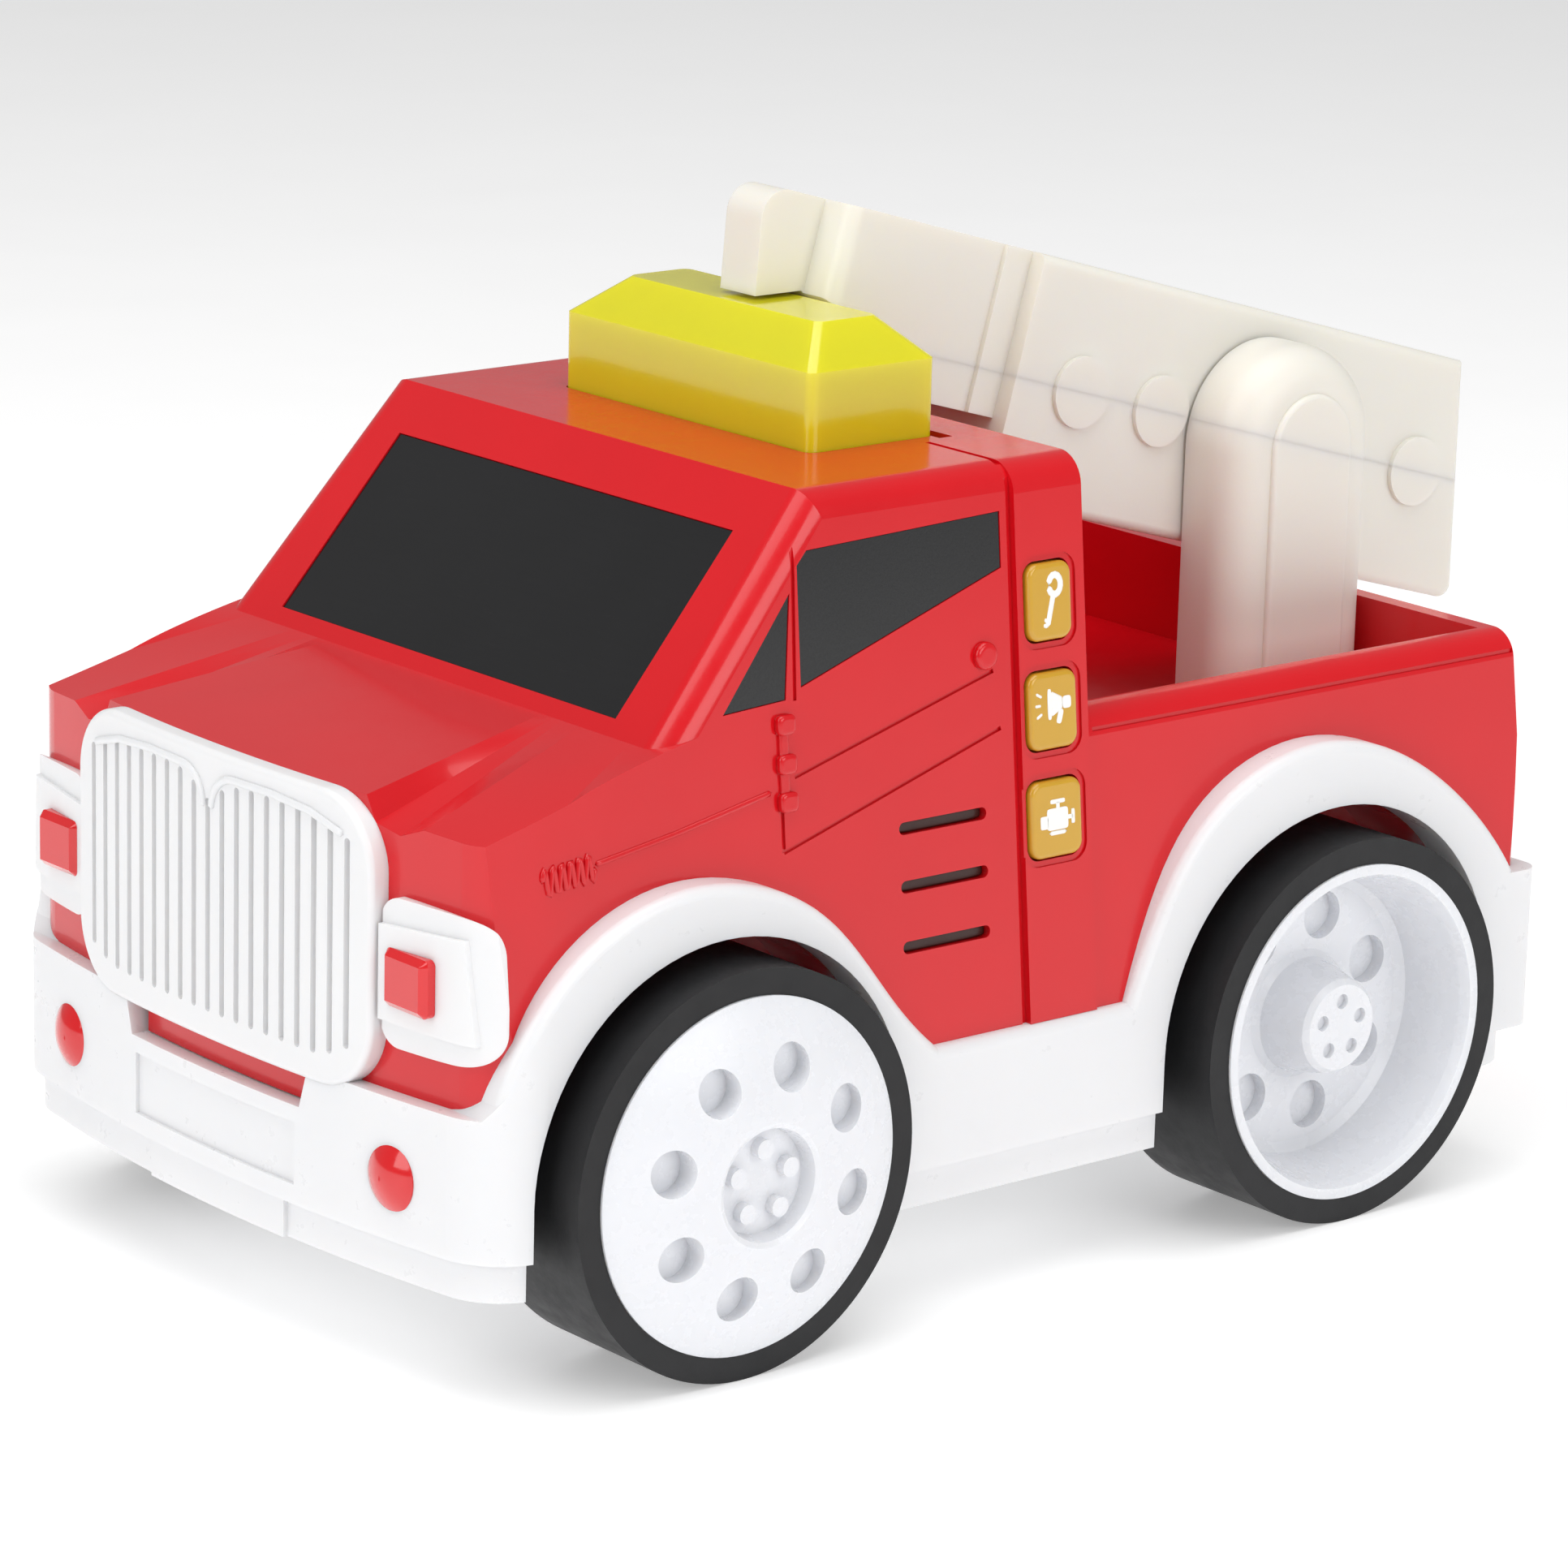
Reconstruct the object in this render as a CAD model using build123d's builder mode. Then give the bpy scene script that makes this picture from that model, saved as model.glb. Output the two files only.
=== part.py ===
"""A chunky push-along toy fire truck with buttons, a roof light and a tilting boom.

Millimetres, +X forwards, +Y to the truck's left, +Z up. The origin is on the ground,
under the middle of the whole truck's length. Side profiles are drawn in a frame whose
x is zero half way between the axles.
"""
from build123d import *
from math import asin, atan, cos, degrees, radians, sin, tan
import os

os.makedirs("parts", exist_ok=True)

# ---- driving dimensions -------------------------------------------------------------
BASE_X = 10.7            # middle of the wheelbase, ahead of the origin
AXLE_X = 55.2            # each axle, ahead of or behind the middle of the wheelbase
TYRE_R = 28.0
AXLE_Z = TYRE_R
RIM_R = 24.35            # edge of the wheel disc
SEAT_R = 23.6            # where the tyre sits on the hub
RIM_Y = 61.2             # outer edge of the rim from the centre line
TYRE_IN_Y = 40.0         # inner side of a tyre
AXLE_R = 2.0
RUN_GAP = 0.05           # radial gap of a shaft that turns in its hole

WALL = 2.4               # wall of the body mouldings
SPLIT_Z = 37.5           # red body above, white chassis below
SILL_HALF = 54.0         # half width of the red body at SPLIT_Z
LEAN = atan(0.1027)      # how far the sides lean in, from upright
REAR_X = -96.2
FRONT_X = 95.6           # red front, behind the grille
BOW_R = 290.0            # the front is bowed to this radius, seen from above
RAIL_Z = 78.7
BED_FLOOR_Z = 64.0
ROOF_Z = 113.8
ROOF_FRONT_X = 35.6
COWL_X = 62.0
COWL_Z = 83.2
HOOD_FRONT_Z = 77.4
CAB_REAR_X = -11.2
EDGE_R = 4.1             # rounding of the roof, pillar, bonnet and rail edges
PILLAR_X = 1.2           # front edge of the button pillar

FLARE_Y = 55.75          # outer face of the white wheel arches
FLARE_IN_Y = 49.6
ARCH_R = {1: 30.9, -1: 31.8}
WELL_Y = 36.0            # inner end of a wheel well
WELL_FOOT = 20.0         # a wheel well is straight-sided this far below the axle
PAN_Z = 15.2             # underside of the chassis
LEDGE_Z = 20.7
BUMPER_Z = 40.0
FLARE_FRONT = [(90.6, 42.0), (80.9, 58.5), (62.0, 66.3), (38.0, 58.9), (24.7, 44.0), (18.0, SPLIT_Z)]
FLARE_REAR = [(-16.5, SPLIT_Z), (-19.6, 45.0), (-30.6, 61.5), (-52.0, 69.3), (-78.5, 58.9), (-92.0, 44.4)]

BOOM_TILT = 15.8         # the boom's rise towards the nose, at rest, in degrees
PIVOT_X = -76.5
PIVOT_Z = 103.4
EAR_R = 14.3
EAR_IN_Y = 13.9
EAR_OUT_Y = 25.0
BOOM_HALF = 13.4
BOOM_DEEP = 17.7         # from the boom's parting line to its top or bottom
ARM_HALF = 9.8           # half width of the arm in front of the main box
ARM_DROP = 6.4
PIN_R = 3.0
NOTCH_HALF = 15.6        # cut-out in the tailgate for the boom's tail
NOTCH_Z = 65.2

BAR_Y = 27.0             # half width of the roof light
BAR_REAR_X = -2.4
BAR_FRONT_X = 19.7
BAR_SHOULDER_Z = 124.6
BAR_TOP_Z = 130.0
BAR_RIB_Y = 12.1

BUTTON_X = -4.6
BUTTON_ZS = {"key": 94.6, "horn": 79.8, "engine": 65.0}
BUTTON_WS = {"key": 7.8, "horn": 8.6, "engine": 9.2}
BUTTON_H = 10.6
BUTTON_GAP = 0.3
VENT_ZS = [67.4, 59.5, 51.3]
SCREW_R = 1.2
POST_R = 3.0


# ---- planes -------------------------------------------------------------------------
def side(y=0.0):
    """Side profile plane at this y: sketch x forwards, sketch y up, facing -Y."""
    return Plane(origin=(BASE_X, y, 0), x_dir=(1, 0, 0), z_dir=(0, -1, 0))


def plan(z=0.0):
    """Seen from above at height z."""
    return Plane(origin=(BASE_X, 0, z))


def face_on(x=0.0):
    """Seen from the front at station x: sketch x to the truck's left, sketch y up."""
    return Plane(origin=(BASE_X + x, 0, 0), x_dir=(0, 1, 0), z_dir=(1, 0, 0))


def left_skin(out=0.0):
    """The leaning left side of the body, moved out by this much and facing inwards."""
    lean = Plane(
        origin=(BASE_X, SILL_HALF, SPLIT_Z), x_dir=(1, 0, 0), z_dir=(0, -cos(LEAN), -sin(LEAN))
    )
    return lean.offset(-out)


def up_skin(z):
    """Height z measured along the leaning side from SPLIT_Z."""
    return (z - SPLIT_Z) / cos(LEAN)


def skin_y(z):
    """Half width of the red body at height z."""
    return SILL_HALF - tan(LEAN) * (z - SPLIT_Z)


SCREEN_RUN = ((COWL_X - ROOF_FRONT_X) ** 2 + (ROOF_Z - COWL_Z) ** 2) ** 0.5
SCREEN_NX = (ROOF_Z - COWL_Z) / SCREEN_RUN
SCREEN_NZ = (COWL_X - ROOF_FRONT_X) / SCREEN_RUN


def screen(out=0.0):
    """The windscreen's plane, from its foot upwards, facing out."""
    foot = Plane(
        origin=(BASE_X + COWL_X, 0, COWL_Z), x_dir=(0, 1, 0), z_dir=(SCREEN_NX, 0, SCREEN_NZ)
    )
    return foot.offset(out)


BOOM_SIN = sin(radians(BOOM_TILT))
BOOM_COS = cos(radians(BOOM_TILT))


def boom_side(y=0.0):
    """Side plane of the boom: x along the parting line towards the nose, y square to it."""
    return Plane(
        origin=(BASE_X + PIVOT_X, y, PIVOT_Z), x_dir=(BOOM_COS, 0, BOOM_SIN), z_dir=(0, -1, 0)
    )


def boom_top(height=0.0):
    """Plane parallel to the boom's parting line: x towards the nose, y to the left."""
    return Plane(
        origin=(BASE_X + PIVOT_X - height * BOOM_SIN, 0, PIVOT_Z + height * BOOM_COS),
        x_dir=(BOOM_COS, 0, BOOM_SIN), z_dir=(-BOOM_SIN, 0, BOOM_COS),
    )


# ---- shared shapes ------------------------------------------------------------------
def bow_drop(half, radius=BOW_R):
    """How far the bowed front falls back at this distance from the centre line."""
    return radius - (radius ** 2 - half ** 2) ** 0.5


def plan_outline(x_rear, x_front, half, r_rear, r_front):
    """Closed outline from above: square tail, bowed nose, rounded corners."""
    back = x_front - bow_drop(half)
    with BuildSketch(Plane.XY) as outline:
        with BuildLine():
            ThreePointArc((back, -half), (x_front, 0), (back, half))
            Polyline((back, half), (x_rear, half), (x_rear, -half), (back, -half))
        make_face()
        fillet(outline.vertices().sort_by(Axis.X)[:2], r_rear)
        fillet(outline.vertices().sort_by(Axis.X)[-2:], r_front)
    return outline.sketch


def hull(inset, floor_z, profile, r_front=8.5):
    """The red body's outer form moved in by inset: its plan, its leaning sides and its side profile."""
    half = SILL_HALF - inset
    shape = plan_outline(REAR_X + inset, FRONT_X - inset, half, max(6.0 - inset, 1.0), r_front - inset)
    tall = 90.0
    with BuildPart() as form:
        with BuildSketch(plan(floor_z)):
            add(shape)
        extrude(amount=tall)
        with BuildSketch(face_on(REAR_X - 5)):
            foot = half + tan(LEAN) * (SPLIT_Z - floor_z)
            top = half - tan(LEAN) * (floor_z + tall - SPLIT_Z)
            high = floor_z + tall
            Polygon((foot, floor_z), (top, high), (-top, high), (-foot, floor_z), align=None)
        extrude(amount=220, mode=Mode.INTERSECT)
        with BuildSketch(side()):
            with BuildLine():
                Polyline(*profile, close=True)
            make_face()
        extrude(amount=70, both=True, mode=Mode.INTERSECT)
    return form.part


def mirrored(solid):
    """The same solid on the truck's other side."""
    with BuildPart() as other:
        add(solid)
        mirror(about=Plane.XZ, mode=Mode.REPLACE)
    return other.part


def both_sides(solid):
    """A solid and its mirror image, as one set of cutters."""
    with BuildPart() as pair:
        add(solid)
        mirror(about=Plane.XZ)
    return pair.part


def finish(builder, name):
    """Label a sub-part and write its STEP file."""
    builder.part.label = name
    export_step(builder.part, f"parts/{name}.step")


# ---- red body -----------------------------------------------------------------------
OUTER_PROFILE = [
    (REAR_X, SPLIT_Z), (REAR_X + 1.6, RAIL_Z), (CAB_REAR_X, RAIL_Z), (CAB_REAR_X, ROOF_Z),
    (ROOF_FRONT_X, ROOF_Z), (COWL_X, COWL_Z), (FRONT_X + 2, COWL_Z), (FRONT_X + 2, SPLIT_Z),
]
CAVITY_PROFILE = [
    (REAR_X + WALL, SPLIT_Z - 1), (REAR_X + WALL, BED_FLOOR_Z - WALL),
    (CAB_REAR_X + WALL, BED_FLOOR_Z - WALL), (CAB_REAR_X + WALL, ROOF_Z - WALL),
    (ROOF_FRONT_X - 1.1, ROOF_Z - WALL), (COWL_X - 1.5, COWL_Z - WALL - 0.6),
    (FRONT_X - WALL, HOOD_FRONT_Z - WALL - 3.6), (FRONT_X - WALL, SPLIT_Z - 1),
]
BED_PROFILE = [
    (REAR_X + 4.4, BED_FLOOR_Z), (REAR_X + 4.4, RAIL_Z + 5),
    (CAB_REAR_X, RAIL_Z + 5), (CAB_REAR_X, BED_FLOOR_Z),
]

with BuildPart() as arch_drums:
    for end in (1, -1):
        with BuildSketch(side(WELL_Y)):
            with Locations((end * AXLE_X, AXLE_Z)):
                Circle(ARCH_R[end])
            with Locations((end * AXLE_X, AXLE_Z - WELL_FOOT / 2)):
                Rectangle(2 * ARCH_R[end], WELL_FOOT)
        extrude(amount=-30)
ARCH_CUTS = both_sides(arch_drums.part)

with BuildPart() as well_drums:
    for end in (1, -1):
        with BuildSketch(side(WELL_Y - WALL)):
            with Locations((end * AXLE_X, AXLE_Z)):
                Circle(ARCH_R[end] + WALL)
            with Locations((end * AXLE_X, AXLE_Z - WELL_FOOT / 2)):
                Rectangle(2 * (ARCH_R[end] + WALL), WELL_FOOT)
        extrude(amount=-(FLARE_Y - 2.8 - WELL_Y + WALL))
WELL_LININGS = both_sides(well_drums.part)

with BuildSketch(Plane.XY) as white_side:
    with BuildLine():
        Polyline((REAR_X - 4, PAN_Z), (REAR_X - 4, FLARE_REAR[-1][1]), FLARE_REAR[-1])
        Spline(*reversed(FLARE_REAR))
        Line(FLARE_REAR[0], FLARE_FRONT[-1])
        Spline(*reversed(FLARE_FRONT))
        Polyline(FLARE_FRONT[0], (92.0, BUMPER_Z), (FRONT_X + 4, BUMPER_Z), (FRONT_X + 4, PAN_Z))
        Line((FRONT_X + 4, PAN_Z), (REAR_X - 4, PAN_Z))
    make_face()

with BuildPart() as flare_block:
    with BuildSketch(side(FLARE_IN_Y)):
        add(white_side.sketch)
    extrude(amount=-(FLARE_Y - FLARE_IN_Y))
FLARE_SIDES = both_sides(flare_block.part)

with BuildPart() as bed_space:
    add(hull(4.2, SPLIT_Z - 5, BED_PROFILE))

with BuildPart() as screen_seat:
    with BuildSketch(screen(-0.9)):
        Polygon((-37.6, 2.6), (37.6, 2.6), (37.0, 32.4), (-37.0, 32.4), align=None)
    extrude(amount=5)

SIDE_GLASS = [(3.0, 107.6), (36.6, 106.4), (38.3, 104.6), (38.4, 88.6), (3.0, 100.0)]
VENT_GLASS = [(39.7, 101.2), (41.0, 87.3), (51.6, 86.7)]


def skin_points(points):
    """Side-view points as they lie on the leaning side."""
    return [(x, up_skin(z)) for x, z in points]


with BuildPart() as glass_seats:
    with BuildSketch(left_skin(1.0)):
        Polygon(*skin_points(SIDE_GLASS), align=None)
        Polygon(*skin_points(VENT_GLASS), align=None)
    extrude(amount=1.8)

with BuildPart() as vent_slots:
    with BuildSketch(left_skin(1.0)):
        for vent_z in VENT_ZS:
            with Locations((14.8, up_skin(vent_z))):
                SlotOverall(15.4, 1.7)
    extrude(amount=8)

with BuildPart() as button_holes:
    with BuildSketch(left_skin(2.0)):
        for button_name, button_z in BUTTON_ZS.items():
            with Locations((BUTTON_X, up_skin(button_z))):
                RectangleRounded(BUTTON_WS[button_name] + 2 * BUTTON_GAP, BUTTON_H + 2 * BUTTON_GAP, 2.0)
    extrude(amount=9)
    with BuildSketch(left_skin(2.0)):
        for button_name, button_z in BUTTON_ZS.items():
            with Locations((BUTTON_X, up_skin(button_z))):
                RectangleRounded(BUTTON_WS[button_name] + 2.2, BUTTON_H + 2.2, 2.6)
    extrude(amount=1.6)

DOOR_LINES = [
    (42.3, 84.0, 42.3, 67.3), (42.3, 67.3, 4.0, 78.5), (40.0, 77.0, 5.0, 86.4), (38.9, 108.0, 39.5, 87.0),
]
with BuildPart() as door_grooves:
    with BuildSketch(left_skin(1.0)):
        for x0, z0, x1, z1 in DOOR_LINES:
            reach = ((x1 - x0) ** 2 + (z1 - z0) ** 2) ** 0.5
            slope = degrees(atan((z1 - z0) / (x1 - x0))) if x1 != x0 else 90.0
            with Locations(((x0 + x1) / 2, up_skin((z0 + z1) / 2))):
                Rectangle(reach, 0.6, rotation=slope)
        with Locations((PILLAR_X + 0.2, up_skin(75.0))):
            Rectangle(0.9, 80)
    extrude(amount=1.4)
    with BuildSketch(left_skin(1.0)):
        for rail_line_z in (77.2, 75.9):
            with Locations((-53.6, up_skin(rail_line_z))):
                Rectangle(82, 0.6)
    extrude(amount=1.4)

with BuildPart() as roof_groove:
    with BuildSketch(plan(ROOF_Z - 0.5)):
        with Locations((PILLAR_X + 0.2, 46.0), (PILLAR_X + 0.2, -46.0)):
            Rectangle(0.9, 32.0)
    extrude(amount=4)

# everything above the bonnet: flat at the windscreen's foot, with falling shoulders at the nose
HOOD_FOOT = [(36, COWL_Z), (38, COWL_Z), (41, COWL_Z), (44, COWL_Z), (60, COWL_Z)]
HOOD_NOSE = [(30.5, HOOD_FRONT_Z), (32.2, 73.4), (37.5, 72.2), (42.0, 74.0), (60, 72.4)]
with BuildPart() as above_hood:
    for station, line in ((COWL_X, HOOD_FOOT), (COWL_X + 38, HOOD_NOSE)):
        other_half = [(-y, z) for y, z in reversed(line)]
        with BuildSketch(face_on(station)):
            Polygon(*other_half, *line, (60, ROOF_Z), (-60, ROOF_Z), align=None)
    loft(ruled=True)

PILLAR_OUT = 0.7
PILLAR_PROFILE = [
    (CAB_REAR_X, SPLIT_Z), (CAB_REAR_X, ROOF_Z), (PILLAR_X - 0.25, ROOF_Z), (PILLAR_X - 0.25, SPLIT_Z),
]
with BuildPart() as pillar_band:
    add(hull(-PILLAR_OUT, SPLIT_Z, PILLAR_PROFILE))
    band_edges = pillar_band.edges().filter_by(lambda e: e.center().Z > ROOF_Z - 0.1)
    fillet(band_edges.filter_by(Axis.X), EDGE_R + 0.4)

with BuildPart() as linings:
    add(WELL_LININGS)
    add(hull(0.5, SPLIT_Z, OUTER_PROFILE), mode=Mode.INTERSECT)

# the red nose reaches down into the bumper's step, under the grille
NOTCH_FLOOR_Z = 34.3
with BuildPart() as nose_tongue:
    add(hull(0, NOTCH_FLOOR_Z + 0.2, [(90.0, 30.0), (90.0, 46.0), (104.0, 46.0), (104.0, 30.0)]))
    with BuildSketch(face_on(88.0)):
        with Locations((0, 40.0)):
            Rectangle(2 * 19.0, 12.0)
    extrude(amount=20, mode=Mode.INTERSECT)

# headlights, made first because the bodies are cut to take them
NOSE_BLOCK = [(78.0, 40.0), (78.0, 72.0), (104.0, 72.0), (104.0, 40.0)]
LENS_Y = 40.2
LENS_Z = 56.0
with BuildPart() as headlight_lens_L:
    with BuildSketch(face_on(90.6)):
        with Locations((LENS_Y, LENS_Z)):
            RectangleRounded(9.0, 7.8, 0.9)
    extrude(amount=5.6)
    chamfer(headlight_lens_L.faces().sort_by(Axis.X)[-1].edges(), 0.9)

with BuildPart() as headlight_lens_R:
    add(mirrored(headlight_lens_L.part))

with BuildPart() as nose_skin:
    add(hull(-1.3, 40.0, NOSE_BLOCK))
    add(hull(0, 40.0, NOSE_BLOCK), mode=Mode.SUBTRACT)

with BuildPart() as nose_skin_proud:
    add(hull(-2.0, 40.0, NOSE_BLOCK))
    add(hull(0, 40.0, NOSE_BLOCK), mode=Mode.SUBTRACT)
    with BuildSketch(face_on(84.0)):
        Polygon((30.0, 50.0), (51.0, 49.6), (49.4, 63.4), (30.0, 62.4), align=None)
    extrude(amount=20, mode=Mode.INTERSECT)

with BuildPart() as bezel_window:
    with BuildSketch(face_on(70.0)):
        with Locations((46.0, 56.4)):
            RectangleRounded(24.0, 20.0, 3.5)
    extrude(amount=40)
    with BuildSketch(side(70)):
        with Locations((103.0, 56.4)):
            RectangleRounded(28.0, 20.0, 5.0)
    extrude(amount=60, mode=Mode.INTERSECT)

with BuildPart() as headlight_bezel_L:
    add(nose_skin.part)
    add(bezel_window.part, mode=Mode.INTERSECT)
    add(nose_skin_proud.part)
    add(headlight_lens_L.part, mode=Mode.SUBTRACT)
    with BuildSketch(face_on(84.0)):
        with Locations((17.0, 56.4)):
            Rectangle(34.6, 40.0)
    extrude(amount=20, mode=Mode.SUBTRACT)

with BuildPart() as headlight_bezel_R:
    add(mirrored(headlight_bezel_L.part))

FOG_Y = 36.8
FOG_Z = 29.2
FOG_R = 4.9
FOG_FOOT = 2.8           # straight part of the lamp, let into the bumper
FOG_RISE = 1.8           # height of its dome
FOG_DOME_R = (FOG_R ** 2 + FOG_RISE ** 2) / (2 * FOG_RISE)
with BuildPart() as fog_lamp_L:
    with BuildSketch(Plane(origin=(BASE_X + 92.4, FOG_Y, FOG_Z), x_dir=(1, 0, 0), z_dir=(0, -1, 0))):
        with BuildLine():
            Polyline((FOG_FOOT + FOG_RISE, 0), (0, 0), (0, FOG_R), (FOG_FOOT, FOG_R))
            CenterArc((FOG_FOOT + FOG_RISE - FOG_DOME_R, 0), FOG_DOME_R, 0, degrees(asin(FOG_R / FOG_DOME_R)))
        make_face()
    revolve(axis=Axis((BASE_X + 92.4, FOG_Y, FOG_Z), (1, 0, 0)))

with BuildPart() as fog_lamp_R:
    add(mirrored(fog_lamp_L.part))

BODY_POSTS = [(84.0, 20.0), (84.0, -20.0), (-84.0, 20.0), (-84.0, -20.0)]
POST_SCREWS = [(PIVOT_X, 19.0), (PIVOT_X + 7.0, 19.0)]
BAR_MID_X = (BAR_REAR_X + BAR_FRONT_X) / 2
LED_POSTS = [(BAR_MID_X, 30.5), (BAR_MID_X, -30.5)]
LED_BOARD_Z = 105.0

with BuildPart() as upper_body:
    add(hull(0, SPLIT_Z, OUTER_PROFILE))
    add(above_hood.part, mode=Mode.SUBTRACT)
    long_edges = upper_body.edges().filter_by(lambda e: e.length > 20 and abs((e @ 0).Y - (e @ 1).Y) < 8)
    fillet(long_edges.filter_by(lambda e: abs(e.center().Y) > 45 and e.center().Z > 76), EDGE_R)
    add(pillar_band.part)
    add(hull(WALL, SPLIT_Z - 1, CAVITY_PROFILE), mode=Mode.SUBTRACT)
    add(linings.part)
    add(nose_tongue.part)
    add(bed_space.part, mode=Mode.SUBTRACT)
    add(FLARE_SIDES, mode=Mode.SUBTRACT)
    add(ARCH_CUTS, mode=Mode.SUBTRACT)
    add(screen_seat.part, mode=Mode.SUBTRACT)
    add(both_sides(glass_seats.part), mode=Mode.SUBTRACT)
    add(both_sides(door_grooves.part), mode=Mode.SUBTRACT)
    add(roof_groove.part, mode=Mode.SUBTRACT)
    add(vent_slots.part, mode=Mode.SUBTRACT)
    add(button_holes.part, mode=Mode.SUBTRACT)
    add(both_sides(headlight_lens_L.part), mode=Mode.SUBTRACT)
    # screw posts: the front pair hang from the bonnet, the rear pair from the bed
    for post_x, post_y in BODY_POSTS:
        post_top = 74.0 if post_x > 0 else BED_FLOOR_Z - 1
        with BuildSketch(plan(SPLIT_Z)):
            with Locations((post_x, post_y)):
                Circle(POST_R)
        extrude(amount=post_top - SPLIT_Z)
        with BuildSketch(plan(SPLIT_Z)):
            with Locations((post_x, post_y)):
                Circle(SCREW_R)
        extrude(amount=10, mode=Mode.SUBTRACT)
    # hole for the roof light, and posts for the board under it
    with BuildSketch(plan(ROOF_Z - WALL - 1)):
        with Locations((BAR_MID_X, 0)):
            RectangleRounded(BAR_FRONT_X - BAR_REAR_X + 0.4, 2 * BAR_Y + 0.4, 1.6)
        with Locations((BAR_REAR_X - 0.6, 0)):
            Rectangle(2.4, 2 * BAR_Y + 3.6)
    extrude(amount=5, mode=Mode.SUBTRACT)
    with BuildSketch(plan(LED_BOARD_Z + 1.6)):
        with Locations(*LED_POSTS):
            Circle(1.8)
    extrude(amount=ROOF_Z - 1 - LED_BOARD_Z - 1.6)
    # tailgate cut-out for the boom's tail
    with BuildSketch(face_on(REAR_X - 2)):
        with Locations((0, NOTCH_Z + 10)):
            RectangleRounded(2 * NOTCH_HALF, 20, 2.0)
    extrude(amount=7, mode=Mode.SUBTRACT)
    with BuildSketch(plan(BED_FLOOR_Z - WALL)):
        with Locations(*POST_SCREWS):
            Circle(SCREW_R + 0.2)
    extrude(amount=WALL, mode=Mode.SUBTRACT)
finish(upper_body, "upper_body")

# ---- glazing ------------------------------------------------------------------------
with BuildPart() as windscreen:
    with BuildSketch(screen(-0.9)):
        Polygon((-37.5, 2.7), (37.5, 2.7), (36.9, 32.3), (-36.9, 32.3), align=None)
    extrude(amount=0.7)
finish(windscreen, "windscreen")

for pane_name, corners in (("side_window", SIDE_GLASS), ("vent_window", VENT_GLASS)):
    with BuildPart() as pane_L:
        with BuildSketch(left_skin(-0.8)):
            Polygon(*skin_points(corners), align=None)
            offset(amount=-0.1, kind=Kind.INTERSECTION)
        extrude(amount=-0.65)
    with BuildPart() as pane_R:
        add(mirrored(pane_L.part))
    finish(pane_L, f"{pane_name}_L")
    finish(pane_R, f"{pane_name}_R")

# ---- headlights, fog lamps ----------------------------------------------------------
finish(headlight_lens_L, "headlight_lens_L")
finish(headlight_lens_R, "headlight_lens_R")
finish(headlight_bezel_L, "headlight_bezel_L")
finish(headlight_bezel_R, "headlight_bezel_R")
finish(fog_lamp_L, "fog_lamp_L")
finish(fog_lamp_R, "fog_lamp_R")

# ---- grille -------------------------------------------------------------------------
GRILLE_HALF = 33.8
GRILLE_LOW_Z = 38.6
GRILLE_TOP_Z = 78.4
GRILLE_X = 98.4
BAR_PITCH = 3.25
BAR_COUNT = 19
with BuildPart() as grille_grooves:
    with BuildSketch(face_on(90.0)):
        for k in range(BAR_COUNT):
            groove_y = (k - (BAR_COUNT - 1) / 2) * BAR_PITCH
            # each half field has rounded shoulders, so its end grooves are shorter
            from_mid = abs(abs(groove_y) - 15.5)
            drop = 0.035 * max(from_mid - 6.0, 0.0) ** 2
            low = 42.6 + (drop if abs(groove_y) > 15.5 else 0.0)
            high = 75.0 - drop
            with Locations((groove_y, (low + high) / 2)):
                SlotOverall(high - low, 1.1, rotation=90)
    extrude(amount=12)
    with BuildSketch(plan(30.0)):
        with Locations((GRILLE_X - BOW_R, 0)):
            Circle(BOW_R - 0.9)
    extrude(amount=60, mode=Mode.SUBTRACT)

with BuildPart() as grille:
    with BuildSketch(face_on(90.0)):
        with Locations((0, (GRILLE_LOW_Z + GRILLE_TOP_Z) / 2)):
            RectangleRounded(2 * GRILLE_HALF, GRILLE_TOP_Z - GRILLE_LOW_Z, 10.0)
    extrude(amount=12)
    with BuildSketch(plan(30.0)):
        with Locations((GRILLE_X - BOW_R, 0)):
            Circle(BOW_R)
        with Locations((FRONT_X - BOW_R, 0)):
            Circle(BOW_R, mode=Mode.SUBTRACT)
    extrude(amount=60, mode=Mode.INTERSECT)
    rim = grille.faces().sort_by(Axis.X)[-1].outer_wire().edges()
    fillet(rim, 0.9)
    add(grille_grooves.part, mode=Mode.SUBTRACT)
finish(grille, "grille")

# ---- white chassis ------------------------------------------------------------------
BAY_HALF_X = 29.5        # battery bay
BAY_HALF_Y = 15.2
DOOR_SCREW_X = BAY_HALF_X + 4.6
DOOR_T = 1.6
BAY_TOP_Z = PAN_Z + DOOR_T + 1.0 + 15.4
SADDLE_Y = 20.0
with BuildPart() as red_core:
    add(hull(0, SPLIT_Z, OUTER_PROFILE))
    add(FLARE_SIDES, mode=Mode.SUBTRACT)

with BuildPart() as pan_linings:
    add(WELL_LININGS)
    with BuildSketch(plan(PAN_Z)):
        Rectangle(220, 140)
    extrude(amount=SPLIT_Z - PAN_Z, mode=Mode.INTERSECT)

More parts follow.
